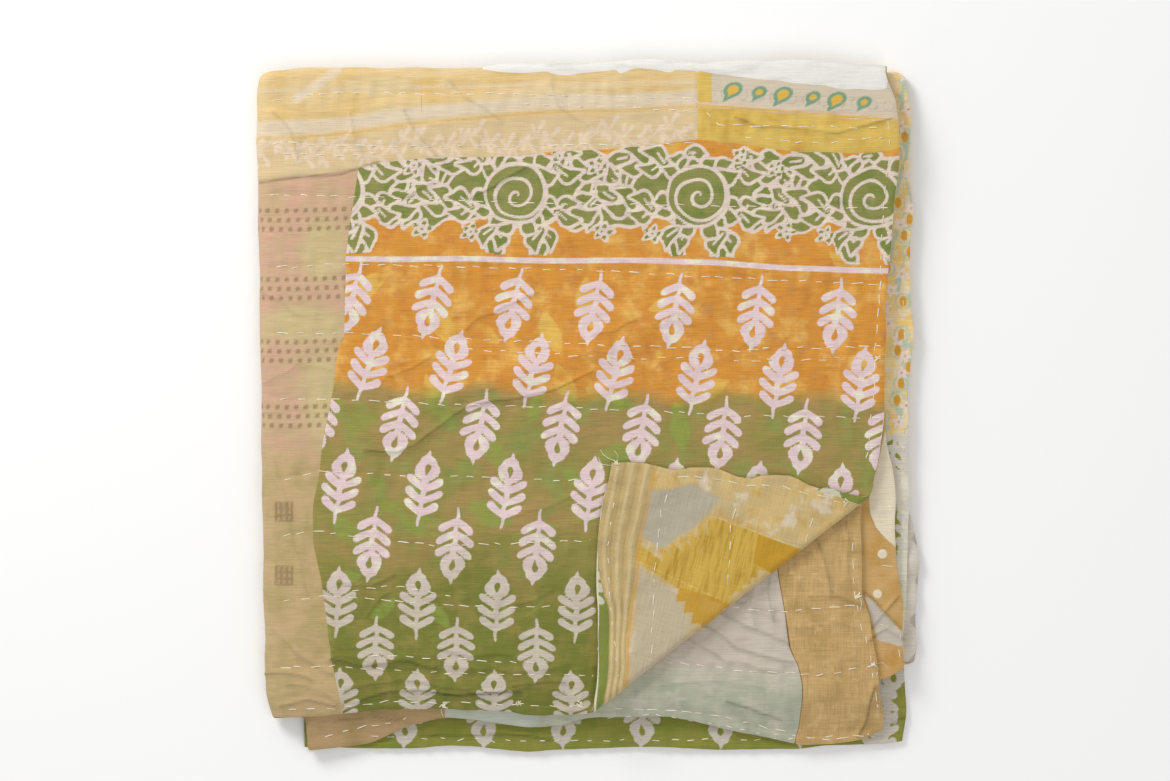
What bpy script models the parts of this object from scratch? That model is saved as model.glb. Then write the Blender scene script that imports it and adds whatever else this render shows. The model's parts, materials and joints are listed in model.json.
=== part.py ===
"""A sari quilt folded into eight layers, lying flat, with its top corner turned back.

The quilt is one rectangle of stitched cloth, about 1.0 m wide and 2.05 m long. It is folded
crosswise in half, crosswise in half again, and then lengthwise in half. Its lengthwise fold is
the left edge here, its crosswise folds are at the top and, inside, near the bottom, and its hems
are the right edge and the loose edges at the bottom. The lower right corner of the top layer is
turned back over the layer itself.

Units are metres. X is to the right and Y is up the quilt, as seen from above. Z is up, and the
underside rests on Z = 0.
"""
from collections import namedtuple

import bmesh
import bpy
import numpy as np
from mathutils import Vector

MM = 0.001
CLOTH_THICKNESS = 1.6 * MM
LAYER_PITCH = 3.2 * MM

# Crosswise folds: how far each band of a fold stands out, in layer pitches
OUTER_FOLD_RADIUS = 1.5
INNER_FOLD_RADIUS = 0.5

# The stretches of cloth from the top layer's hem to the second layer's: each one's rows of faces,
# how much they crowd towards its lower edge (1 is evenly spaced), and its distance from the
# middle of the stack at both ends, in layer pitches
Stretch = namedtuple("Stretch", "name rows crowding start_level end_level")
STRETCHES = (
    Stretch("top layer", 20, 1.0, 3.5, 3.5),
    Stretch("outer top fold", 5, 1.0, 3.5, 0.5),
    Stretch("fourth layer", 9, 1.4, 0.5, 0.5),
    Stretch("bottom fold", 4, 1.0, 0.5, 1.5),
    Stretch("third layer", 9, 1.4, 1.5, 1.5),
    Stretch("inner top fold", 4, 1.0, 1.5, 2.5),
    Stretch("second layer", 14, 1.4, 2.5, 2.5),
)

RUN_UPWARDS = ("top layer", "third layer")
# Faces across the cloth, from the upper half's hem over the left fold to the lower half's hem,
# crowding a little towards both hems
UPPER_COLUMNS = 20
FOLD_COLUMNS = 8
LOWER_COLUMNS = 12
HEM_CROWDING = 1.12

# Layer numbers count up from the surface: the upper half is 7 to 4, and the lower half 3 to 0
LAYERS = range(8)
TOP_LAYER = 7
MIDDLE_OF_STACK = 3.5
HEMMED_AT_BOTTOM = (7, 6, 1, 0)

# Right hems, one row for each layer: pairs of height up the quilt and distance to the right of
# its centre line, mm. The top layer's row runs on to its corner as it is before it is turned back.
RIGHT_HEMS = {
    7: ((272, 238), (244, 246), (207, 249), (146, 243), (66, 238), (0, 237), (-34, 234),
        (-62, 228), (-81, 225), (-102, 226), (-117, 223), (-137, 227), (-158, 223), (-174, 217),
        (-195, 219), (-216, 215), (-234, 209), (-251, 209), (-280, 203)),
    6: ((272, 238), (110, 234), (20, 228), (-90, 219), (-148, 219), (-170, 226), (-220, 233),
        (-258, 237), (-278, 232)),
    5: ((272, 240), (160, 238), (66, 234), (-20, 239), (-60, 246), (-122, 247), (-160, 252),
        (-215, 253)),
    4: ((272, 240), (66, 236), (-60, 241), (-215, 246)),
    3: ((270, 254), (230, 259), (190, 258), (159, 261), (127, 258), (60, 261), (0, 257),
        (-83, 258), (-130, 256), (-212, 253)),
    2: ((270, 250), (0, 250), (-70, 253), (-95, 262), (-125, 266), (-162, 263), (-190, 265),
        (-212, 259)),
    1: ((270, 248), (-100, 249), (-180, 251), (-240, 256), (-272, 252)),
    0: ((270, 246), (-262, 247)),
}

# Bottom edges, one row for each layer: pairs of distance across and height up the quilt, mm.
# Layers 7, 6, 1 and 0 end in hems, and 5 with 4 and 3 with 2 in the folds that join them.
UPPER_FOLD_LINE = ((-260, -216), (0, -218), (234, -217), (256, -208))
LOWER_FOLD_LINE = ((-260, -212), (120, -215), (262, -206))
BOTTOM_EDGES = {
    7: ((-260, -249), (-217, -247), (-158, -241), (-72, -242), (-33, -246), (0, -245),
        (22, -247), (43, -251), (65, -257), (87, -262), (101, -266), (124, -272), (140, -275),
        (155, -277), (203, -280)),
    6: ((-230, -275), (-179, -270), (-142, -255), (-110, -249), (-36, -256), (12, -247),
        (60, -248), (130, -262), (188, -271), (218, -267), (238, -257)),
    5: UPPER_FOLD_LINE,
    4: UPPER_FOLD_LINE,
    3: LOWER_FOLD_LINE,
    2: LOWER_FOLD_LINE,
    1: ((-230, -273), (-144, -274), (-100, -272), (-42, -276), (25, -273), (120, -275),
        (200, -272), (252, -269)),
    0: ((-256, -247), (-226, -250), (-190, -258), (60, -262), (246, -260)),
}

# Top folds of the two halves: pairs of distance across and height up the quilt, mm
TOP_FOLDS = {
    "upper": ((-264, 268), (-220, 271), (-86, 272), (-66, 275), (0, 275), (44, 278), (84, 276),
              (144, 277), (240, 274)),
    "lower": ((-264, 267), (0, 270), (244, 270), (256, 265)),
}

# The lengthwise fold: pairs of height up the quilt and distance across to its nose, mm
LEFT_FOLD = ((272, -261), (246, -265), (142, -264), (6, -262), (-80, -261), (-225, -258),
             (-252, -251))
# A place on a flat stretch is found from its edges in rounds, starting from a plain rectangle
FIRST_TOP = 270 * MM
FIRST_LENGTH = 520 * MM
EDGE_ROUNDS = 3
# How far the fold of each layer stands inside the one around it, by height up the quilt, mm
FIRST_INSET = ((272, 5), (100, 6), (-60, 13), (-200, 22), (-275, 27))
NEXT_INSET = 4 * MM

# Past a layer's edge, those above it come down by a layer, starting a little way out
DROP_START = 8 * MM
BOTTOM_RUN = 44 * MM
SIDE_RUN = 30 * MM
LEFT_RUN = 40 * MM
LEFT_SHARE = 0.4
# The lengthwise fold stays full where the layers inside it end
FOLD_LOFT = 0.5
FOLD_LOFT_RUN = 75 * MM
EDGE_EASE = 0.12
EDGE_EASE_RUN = 34 * MM

# The turned corner: the line that it is folded along, from its right end to its left end, in
# metres across and up the quilt, the cloth that its roll takes and how high the roll stands
TURN_RIGHT = Vector((225.0, -65.0)) * MM
TURN_LEFT = Vector((2.0, -239.0)) * MM
TURN_ARC = 12 * MM
TURN_CUTS = 6
CUT_SNAP = 0.6 * MM
TURN_LIFT_RIGHT = 4.4 * MM
TURN_LIFT_LEFT = 8.0 * MM
TURN_SETTLE_RUN = 34 * MM
TURN_REST = 3.4 * MM

# Stitched rows run across the cloth and draw it in, one row of stitches every second row of
# faces. They stop short of the lengthwise fold.
STITCH_ROWS = 10
STITCH_DEPTH = 0.5 * MM
UNSTITCHED_SHARE = 0.02
# Two heights nearer than this are on the same layer
SAME_LAYER = 0.3 * MM

# Creases and swells: from, to, half-width and height, all in mm. Below zero is a trough.
Crease = namedtuple("Crease", "from_x from_y to_x to_y width height")
CREASES = (
    Crease(90, 86, 8, 46, 20, 2.0),
    Crease(8, 46, -118, 6, 20, 2.6),
    Crease(-118, 6, -178, -38, 20, 1.8),
    Crease(70, 30, -100, -40, 20, 1.4),
    Crease(4, -76, -90, -104, 20, 1.8),
    Crease(-190, -190, -40, -206, 20, 1.6),
    Crease(-230, 150, -200, 60, 22, 1.4),
    Crease(-232, -60, -222, -180, 20, 1.3),
    Crease(96, 222, 240, 218, 18, 1.5),
    Crease(104, -160, 160, -236, 20, 1.8),
    Crease(196, -120, 200, -250, 20, 1.4),
    Crease(-120, 236, -30, 246, 20, 1.4),
)
# Ridges that the stitches gather on the turned corner: distance of each from its tip, mm
FLAP_RIDGES = (22, 58, 104, 158)
FLAP_RIDGE_WIDTH = 13 * MM
FLAP_RIDGE_HEIGHT = 1.6 * MM

CLOTH_COLOUR = (0.46, 0.42, 0.16, 1.0)
CLOTH_ROUGHNESS = 0.92


def smooth_step(share):
    share = np.clip(share, 0.0, 1.0)
    return share * share * (3.0 - 2.0 * share)


def curve_through(table, at):
    """The smooth curve through a table of pairs in mm, read at distances in metres. It never
    swings past its pairs."""
    pairs = np.array(sorted(table), float) * MM
    stations, values = pairs[:, 0], pairs[:, 1]
    secants = np.diff(values) / np.diff(stations)
    product = secants[:-1] * secants[1:]
    total = np.where(product > 0, secants[:-1] + secants[1:], 1.0)
    inner = np.where(product > 0, 2 * product / total, 0.0)
    slopes = np.concatenate((secants[:1], inner, secants[-1:]))
    at = np.clip(at, stations[0], stations[-1])
    index = np.clip(np.searchsorted(stations, at) - 1, 0, len(stations) - 2)
    span = stations[index + 1] - stations[index]
    share = (at - stations[index]) / span
    start_weight = 2 * share**3 - 3 * share**2 + 1
    return (
        start_weight * values[index]
        + (1 - start_weight) * values[index + 1]
        + (share**3 - 2 * share**2 + share) * span * slopes[index]
        + (share**3 - share**2) * span * slopes[index + 1]
    )


def layer_height(layer):
    """The height of a layer's middle, before the layers settle."""
    return CLOTH_THICKNESS / 2 + layer * LAYER_PITCH


def inset(level, up):
    """How far a layer's part of the left fold stands inside the outermost one."""
    inwards = MIDDLE_OF_STACK - level
    first = curve_through(FIRST_INSET, up)
    return first * np.minimum(inwards, 1.0) + NEXT_INSET * np.maximum(inwards - 1.0, 0.0)


def fold_centre(level, up):
    """Where a layer's part of the left fold has the centre of its curve."""
    return curve_through(LEFT_FOLD, up) + inset(level, up) + level * LAYER_PITCH


def layer_of(half, level):
    """The layer number of a flat stretch at its level in the upper or the lower half."""
    return round(MIDDLE_OF_STACK + level if half == "upper" else MIDDLE_OF_STACK - level)


def flat_stretch(half, stretch, from_top, across):
    """Plan positions on a flat stretch. from_top is 0 at the top fold and 1 at its lower edge, and
    across is 0 at the left fold and 1 at the right hem."""
    layer = layer_of(half, stretch.start_level)
    top_centre = OUTER_FOLD_RADIUS * LAYER_PITCH
    bottom_centre = 0.0 if layer in HEMMED_AT_BOTTOM else INNER_FOLD_RADIUS * LAYER_PITCH
    up = FIRST_TOP - FIRST_LENGTH * from_top
    for _ in range(EDGE_ROUNDS):
        left = fold_centre(stretch.start_level, up)
        x = left + (curve_through(RIGHT_HEMS[layer], up) - left) * across
        top = curve_through(TOP_FOLDS[half], x) - top_centre
        bottom = curve_through(BOTTOM_EDGES[layer], x) + bottom_centre
        up = top + (bottom - top) * from_top
    return x, up


def crosswise_fold(half, index, share, across):
    """Plan positions and levels round the fold between two flat stretches."""
    before, fold, after = STRETCHES[index - 1 : index + 2]
    at_top = fold.name != "bottom fold"
    end = 0.0 if at_top else 1.0
    x_before, up_before = flat_stretch(half, before, end, across)
    x_after, up_after = flat_stretch(half, after, end, across)
    middle = (fold.start_level + fold.end_level) / 2
    radius = (fold.start_level - fold.end_level) / 2
    out = abs(radius) * LAYER_PITCH * np.sin(np.pi * share)
    x = x_before + (x_after - x_before) * share
    up = up_before + (up_after - up_before) * share + (out if at_top else -out)
    return x, up, middle + radius * np.cos(np.pi * share)


def half_of_stack(half, along, across):
    """Plan positions and levels for one half of the folded cloth, from the place along it, in
    stretches, and across it, from the left fold to the hem."""
    x, up, level = np.zeros_like(along), np.zeros_like(along), np.zeros_like(along)
    stretch_index = np.clip(along.astype(int), 0, len(STRETCHES) - 1)
    for index, stretch in enumerate(STRETCHES):
        here = stretch_index == index
        share = along[here] - index
        if stretch.start_level == stretch.end_level:
            from_top = 1 - share if stretch.name in RUN_UPWARDS else share
            x[here], up[here] = flat_stretch(half, stretch, from_top, across[here])
            level[here] = stretch.start_level
        else:
            x[here], up[here], level[here] = crosswise_fold(half, index, share, across[here])
    return x, up, level


def folded_positions(along, around):
    """The folded cloth with its layers level: around is 0 to 1 from the upper hem to the left
    fold, 1 to 2 round the fold and 2 to 3 from there to the lower hem."""
    upper_x, upper_up, level = half_of_stack("upper", along, np.clip(1 - around, 0, 1))
    lower_x, lower_up, _ = half_of_stack("lower", along, np.clip(around - 2, 0, 1))
    turn = np.pi * np.clip(around - 1, 0, 1)
    lower_share = (1 - np.cos(turn)) / 2
    reach = level * LAYER_PITCH
    x = np.where(around > 1.5, lower_x, upper_x) - reach * np.sin(turn)
    up = upper_up + (lower_up - upper_up) * lower_share
    height = layer_height(MIDDLE_OF_STACK) + reach * np.cos(turn)
    return x, up, height


def gone(layer, x, up):
    """How far beyond a layer's edges a place is, from 0 on the layer to 1 where those above it
    have come down by a whole layer."""
    below = smooth_step((curve_through(BOTTOM_EDGES[layer], x) - DROP_START - up) / BOTTOM_RUN)
    beside = smooth_step((x - curve_through(RIGHT_HEMS[layer], up) - DROP_START) / SIDE_RUN)
    fold = curve_through(LEFT_FOLD, up)
    below *= 1 - FOLD_LOFT * smooth_step(1 - (x - fold) / FOLD_LOFT_RUN)
    nose = fold + inset(abs(layer - MIDDLE_OF_STACK), up)
    inside = LEFT_SHARE * smooth_step((nose - x - DROP_START) / LEFT_RUN)
    return np.maximum(np.maximum(below, beside), inside)


def creases_at(x, up):
    """Height of the creases and swells that the layers share."""
    total = np.zeros_like(x)
    for crease in CREASES:
        start = np.array((crease.from_x, crease.from_y)) * MM
        run = np.array((crease.to_x, crease.to_y)) * MM - start
        share = ((x - start[0]) * run[0] + (up - start[1]) * run[1]) / (run @ run)
        share = np.clip(share, 0.0, 1.0)
        away = np.hypot(x - start[0] - share * run[0], up - start[1] - share * run[1])
        total += crease.height * MM * np.exp(-((away / (crease.width * MM)) ** 2))
    return total


def settled(x, up, height):
    """The height of a point of the level stack once its layers have settled on each other."""
    lowest = layer_height(0)
    settled_height = height.copy()
    for layer in LAYERS:
        passed = np.clip((height - layer_height(layer)) / LAYER_PITCH, 0.0, 1.0)
        settled_height -= LAYER_PITCH * gone(layer, x, up) * passed
    share = (settled_height - lowest) / (layer_height(TOP_LAYER) - lowest)
    left = smooth_step(1 - (x - curve_through(LEFT_FOLD, up)) / EDGE_EASE_RUN)
    top = smooth_step(1 - (curve_through(TOP_FOLDS["upper"], x) - up) / EDGE_EASE_RUN)
    eased = EDGE_EASE * np.maximum(left, top)
    return lowest + (settled_height - lowest) * (1 - eased) + share * creases_at(x, up)


def turn_directions():
    """Unit vectors along the turned corner's fold line and outwards across it, and its length."""
    line = TURN_LEFT - TURN_RIGHT
    along_line = line.normalized()
    return along_line, Vector((-along_line.y, along_line.x)), line.length


def turn_back(x, up):
    """The plan position of the top layer with its corner turned back, and how far each point
    stands above the layer."""
    along_line, outwards, length = turn_directions()
    away = (x - TURN_RIGHT.x) * outwards.x + (up - TURN_RIGHT.y) * outwards.y
    place = ((x - TURN_RIGHT.x) * along_line.x + (up - TURN_RIGHT.y) * along_line.y) / length
    lift = TURN_LIFT_RIGHT + (TURN_LIFT_LEFT - TURN_LIFT_RIGHT) * smooth_step(place)
    turn = np.pi * np.clip(away / TURN_ARC, 0.0, 1.0)
    beyond = np.maximum(away - TURN_ARC, 0.0)
    radius = TURN_ARC / np.pi
    new_away = np.where(away > 0, radius * np.sin(turn) - beyond, away)
    height = np.where(away > 0, lift * (1 - np.cos(turn)) / 2, 0.0)
    settle = smooth_step(beyond / TURN_SETTLE_RUN)
    height += (TURN_REST - lift) * settle
    ridges = np.zeros_like(x)
    for ridge in FLAP_RIDGES:
        ridges += np.exp(-(((beyond - ridge * MM) / FLAP_RIDGE_WIDTH) ** 2))
    height += FLAP_RIDGE_HEIGHT * ridges * smooth_step(beyond / FLAP_RIDGE_WIDTH)
    shift = new_away - away
    return x + shift * outwards.x, up + shift * outwards.y, height


def stitched_depth(along, around):
    """How far the running stitches draw the cloth down, by the place along it."""
    on_flat = (along < 1) | (along > len(STRETCHES) - 1)
    wave = 0.5 - 0.5 * np.cos(2 * np.pi * (along % 1.0) * STITCH_ROWS)
    off_fold = (around < 1 - UNSTITCHED_SHARE) | (around > 2 + UNSTITCHED_SHARE)
    return STITCH_DEPTH * wave * on_flat * off_fold


def stations():
    """Places along and around the cloth of the grid's rows and columns."""
    along = []
    for index, stretch in enumerate(STRETCHES):
        share = np.arange(stretch.rows) / stretch.rows
        if stretch.name in RUN_UPWARDS:
            share = share**stretch.crowding
        else:
            share = 1 - (1 - share) ** stretch.crowding
        along.append(index + share)
    along.append((float(len(STRETCHES)),))
    around = np.concatenate((
        np.linspace(0, 1, UPPER_COLUMNS + 1) ** HEM_CROWDING,
        np.linspace(1, 2, FOLD_COLUMNS + 1)[1:],
        3 - np.linspace(1, 0, LOWER_COLUMNS + 1)[1:] ** HEM_CROWDING,
    ))
    return np.concatenate(along), around


def read_points(bm):
    return np.array([vert.co[:] for vert in bm.verts])


def write_points(bm, points):
    for vert, point in zip(bm.verts, points):
        vert.co = point


def cut_turned_corner(bm):
    """Cuts the top layer along lines beside the turned corner's fold, so that it rolls evenly."""
    outwards = turn_directions()[1].to_3d()
    top = layer_height(TOP_LAYER)
    for cut in range(TURN_CUTS + 1):
        faces = [face for face in bm.faces
                 if all(abs(vert.co.z - top) < SAME_LAYER for vert in face.verts)]
        edges = {edge for face in faces for edge in face.edges}
        verts = {vert for face in faces for vert in face.verts}
        origin = TURN_RIGHT.to_3d() + outwards * TURN_ARC * cut / TURN_CUTS
        bmesh.ops.bisect_plane(bm, geom=[*verts, *edges, *faces], dist=CUT_SNAP,
                               plane_co=origin, plane_no=outwards)


def cloth_material():
    material = bpy.data.materials.new("stitched_sari_cotton")
    material.use_nodes = True
    shader = material.node_tree.nodes["Principled BSDF"]
    shader.inputs["Base Color"].default_value = CLOTH_COLOUR
    shader.inputs["Roughness"].default_value = CLOTH_ROUGHNESS
    return material


def folded_quilt():
    """The whole cloth: a flat grid, folded row by row and column by column, then thickened."""
    along, around = stations()
    bm = bmesh.new()
    bmesh.ops.create_grid(bm, x_segments=len(around) - 1, y_segments=len(along) - 1, size=0.5)
    points = read_points(bm)
    column = np.rint((points[:, 0] + 0.5) * (len(around) - 1)).astype(int)
    row = np.rint((points[:, 1] + 0.5) * (len(along) - 1)).astype(int)
    x, up, height = folded_positions(along[row], around[column])
    depth = stitched_depth(along[row], around[column])
    write_points(bm, np.column_stack((x, up, height)))
    depth_layer = bm.verts.layers.float.new("stitched")
    for vert, value in zip(bm.verts, depth):
        vert[depth_layer] = value

    cut_turned_corner(bm)

    x, up, height = read_points(bm).T
    depth = np.array([vert[depth_layer] for vert in bm.verts])
    on_top = np.abs(height - layer_height(TOP_LAYER)) < SAME_LAYER
    turned_x, turned_up, lift = turn_back(x, up)
    x = np.where(on_top, turned_x, x)
    up = np.where(on_top, turned_up, up)
    resting = height < layer_height(0) + SAME_LAYER
    height = settled(x, up, height) + np.where(on_top, lift, 0.0)
    height -= np.where(resting, 0.0, depth)
    write_points(bm, np.column_stack((x, up, height)))
    bmesh.ops.recalc_face_normals(bm, faces=bm.faces)

    mesh = bpy.data.meshes.new("folded_quilt")
    bm.to_mesh(mesh)
    bm.free()
    mesh.shade_smooth()
    mesh.materials.append(cloth_material())
    quilt = bpy.data.objects.new("folded_quilt", mesh)
    thickness = quilt.modifiers.new("cloth_thickness", "SOLIDIFY")
    thickness.thickness = CLOTH_THICKNESS
    thickness.offset = 0.0
    thickness.use_quality_normals = True
    return quilt


def main():
    for old in list(bpy.data.objects):
        bpy.data.objects.remove(old)
    collection = bpy.data.collections.new("sari_quilt")
    bpy.context.scene.collection.children.link(collection)
    collection.objects.link(folded_quilt())


main()
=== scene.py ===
"""The folded sari quilt, dressed: its cloth, patches, prints and running stitches.

The quilt is one cloth folded into eight layers. Layers are numbered from the surface up: 7 is the
top layer, 6 the second one, 3 to 0 the lower half. Plan positions are in metres, X to the right
and Y up the quilt. Tables are in millimetres.
"""
import bmesh
import bpy
import json
import numpy as np
from collections import namedtuple
from math import pi
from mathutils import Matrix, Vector
from mathutils.bvhtree import BVHTree

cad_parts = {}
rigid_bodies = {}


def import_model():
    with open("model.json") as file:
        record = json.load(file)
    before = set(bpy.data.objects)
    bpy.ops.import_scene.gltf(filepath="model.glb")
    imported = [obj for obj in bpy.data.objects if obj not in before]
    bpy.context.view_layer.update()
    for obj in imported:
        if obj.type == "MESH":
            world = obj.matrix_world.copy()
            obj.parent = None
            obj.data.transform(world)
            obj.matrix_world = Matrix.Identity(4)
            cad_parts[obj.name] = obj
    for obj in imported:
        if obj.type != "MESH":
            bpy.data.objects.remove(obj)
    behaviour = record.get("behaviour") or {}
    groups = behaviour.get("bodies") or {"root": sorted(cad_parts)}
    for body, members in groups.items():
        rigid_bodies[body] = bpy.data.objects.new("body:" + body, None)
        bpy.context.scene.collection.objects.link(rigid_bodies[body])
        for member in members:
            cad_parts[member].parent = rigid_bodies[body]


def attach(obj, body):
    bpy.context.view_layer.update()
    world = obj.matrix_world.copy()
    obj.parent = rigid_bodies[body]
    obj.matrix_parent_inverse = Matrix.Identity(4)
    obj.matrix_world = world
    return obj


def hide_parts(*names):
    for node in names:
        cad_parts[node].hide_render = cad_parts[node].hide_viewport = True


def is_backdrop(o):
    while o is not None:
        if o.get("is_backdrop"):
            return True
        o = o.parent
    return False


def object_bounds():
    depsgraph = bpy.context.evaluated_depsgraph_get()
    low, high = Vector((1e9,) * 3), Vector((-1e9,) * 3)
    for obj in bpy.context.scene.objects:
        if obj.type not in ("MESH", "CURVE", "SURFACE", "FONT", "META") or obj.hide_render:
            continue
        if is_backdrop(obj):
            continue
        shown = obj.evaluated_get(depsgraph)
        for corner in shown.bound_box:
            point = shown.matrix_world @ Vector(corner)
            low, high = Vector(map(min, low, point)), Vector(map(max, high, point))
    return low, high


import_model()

CAD_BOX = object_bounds()

bl_info = {
    "name": "Folded sari quilt",
    "version": (1, 0, 0),
    "blender": (4, 5, 0),
    "location": "View3D > Sidebar > Sari quilt",
    "description": "Makes a folded patchwork quilt of stitched sari cotton",
    "category": "Add Mesh",
}

MM = 0.001

# How the cloth is folded, as in the solid that these pieces dress
CLOTH_THICKNESS = 1.6 * MM
LAYER_PITCH = 3.2 * MM
OUTER_FOLD_RADIUS = 1.5
INNER_FOLD_RADIUS = 0.5
LAYERS = 8
# Levels are counted from the stack's middle, which lies between layers 3 and 4
MIDDLE_LAYER = 3.5
TOP_LEVEL = 3.5
# The top and the bottom from which a place on a flat stretch is first guessed
STRETCH_TOP = 270 * MM
STRETCH_BOTTOM = -250 * MM

Stretch = namedtuple("Stretch", "name rows start_level end_level")
STRETCHES = tuple(Stretch(*row) for row in (
    ("top layer", 66, 3.5, 3.5),
    ("outer top fold", 10, 3.5, 0.5),
    ("fourth layer", 36, 0.5, 0.5),
    ("bottom fold", 8, 0.5, 1.5),
    ("third layer", 44, 1.5, 1.5),
    ("inner top fold", 8, 1.5, 2.5),
    ("second layer", 66, 2.5, 2.5),
))
RUN_UPWARDS = ("top layer", "third layer")
UPPER_COLUMNS = 60
FOLD_COLUMNS = 14
LOWER_COLUMNS = 58

RIGHT_HEMS = {
    7: ((272, 238), (244, 246), (207, 249), (146, 243), (66, 238), (0, 237), (-34, 234),
        (-62, 228), (-81, 225), (-102, 226), (-117, 223), (-137, 227), (-158, 223), (-174, 217),
        (-195, 219), (-216, 215), (-234, 209), (-251, 209), (-280, 203)),
    6: ((272, 238), (110, 234), (20, 228), (-90, 219), (-148, 219), (-170, 226), (-220, 233),
        (-258, 237), (-278, 232)),
    5: ((272, 240), (160, 238), (66, 234), (-20, 239), (-60, 246), (-122, 247), (-160, 252),
        (-215, 253)),
    4: ((272, 240), (66, 236), (-60, 241), (-215, 246)),
    3: ((270, 254), (230, 259), (190, 258), (159, 261), (127, 258), (60, 261), (0, 257),
        (-83, 258), (-130, 256), (-212, 253)),
    2: ((270, 250), (0, 250), (-70, 253), (-95, 262), (-125, 266), (-162, 263), (-190, 265),
        (-212, 259)),
    1: ((270, 248), (-100, 249), (-180, 251), (-240, 256), (-272, 252)),
    0: ((270, 246), (-262, 247)),
}
UPPER_FOLD_LINE = ((-260, -216), (0, -218), (234, -217), (256, -208))
LOWER_FOLD_LINE = ((-260, -212), (120, -215), (262, -206))
BOTTOM_EDGES = {
    7: ((-260, -249), (-217, -247), (-158, -241), (-72, -242), (-33, -246), (0, -245),
        (22, -247), (43, -251), (65, -257), (87, -262), (101, -266), (124, -272), (140, -275),
        (155, -277), (203, -280)),
    6: ((-230, -275), (-179, -270), (-142, -255), (-110, -249), (-36, -256), (12, -247),
        (60, -248), (130, -262), (188, -271), (218, -267), (238, -257)),
    5: UPPER_FOLD_LINE,
    4: UPPER_FOLD_LINE,
    3: LOWER_FOLD_LINE,
    2: LOWER_FOLD_LINE,
    1: ((-230, -273), (-144, -274), (-100, -272), (-42, -276), (25, -273), (120, -275),
        (200, -272), (252, -269)),
    0: ((-256, -247), (-226, -250), (-190, -258), (60, -262), (246, -260)),
}
TOP_FOLDS = {
    "upper": ((-264, 268), (-220, 271), (-86, 272), (-66, 275), (0, 275), (44, 278), (84, 276),
              (144, 277), (240, 274)),
    "lower": ((-264, 267), (0, 270), (244, 270), (256, 265)),
}
LEFT_FOLD = ((272, -261), (246, -265), (142, -264), (6, -262), (-80, -261), (-225, -258),
             (-252, -251))
FIRST_INSET = ((272, 5), (100, 6), (-60, 13), (-200, 22), (-275, 27))
NEXT_INSET = 4 * MM

DROP_START = 8 * MM
BOTTOM_RUN = 44 * MM
SIDE_RUN = 30 * MM
LEFT_RUN = 40 * MM
LEFT_SHARE = 0.4
FOLD_LOFT = 0.5
FOLD_LOFT_RUN = 75 * MM
EDGE_EASE = 0.12
EDGE_EASE_RUN = 34 * MM

TURN_RIGHT = Vector((225.0, -65.0)) * MM
TURN_LEFT = Vector((2.0, -239.0)) * MM
TURN_ARC = 12 * MM
TURN_CUTS = 6
CUT_SNAP = 0.6 * MM
TURN_LIFT_RIGHT = 4.4 * MM
TURN_LIFT_LEFT = 8.0 * MM
TURN_SETTLE_RUN = 34 * MM
TURN_REST = 3.4 * MM
FLAP_RIDGES = (22, 58, 104, 158)
FLAP_RIDGE_WIDTH = 13 * MM
FLAP_RIDGE_HEIGHT = 1.6 * MM

# Broad creases, which the solid has too: from, to, half-width and height, all in mm. Below zero is
# a trough.
Crease = namedtuple("Crease", "from_x from_y to_x to_y width height")
BROAD_CREASES = tuple(Crease(*row) for row in (
    (90, 86, 8, 46, 20, 2.0),
    (8, 46, -118, 6, 20, 2.6),
    (-118, 6, -178, -38, 20, 1.8),
    (70, 30, -100, -40, 20, 1.4),
    (4, -76, -90, -104, 20, 1.8),
    (-190, -190, -40, -206, 20, 1.6),
    (-230, 150, -200, 60, 22, 1.4),
    (-232, -60, -222, -180, 20, 1.3),
    (96, 222, 240, 218, 18, 1.5),
    (104, -160, 160, -236, 20, 1.8),
    (196, -120, 200, -250, 20, 1.4),
    (-120, 236, -30, 246, 20, 1.4),
))
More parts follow.
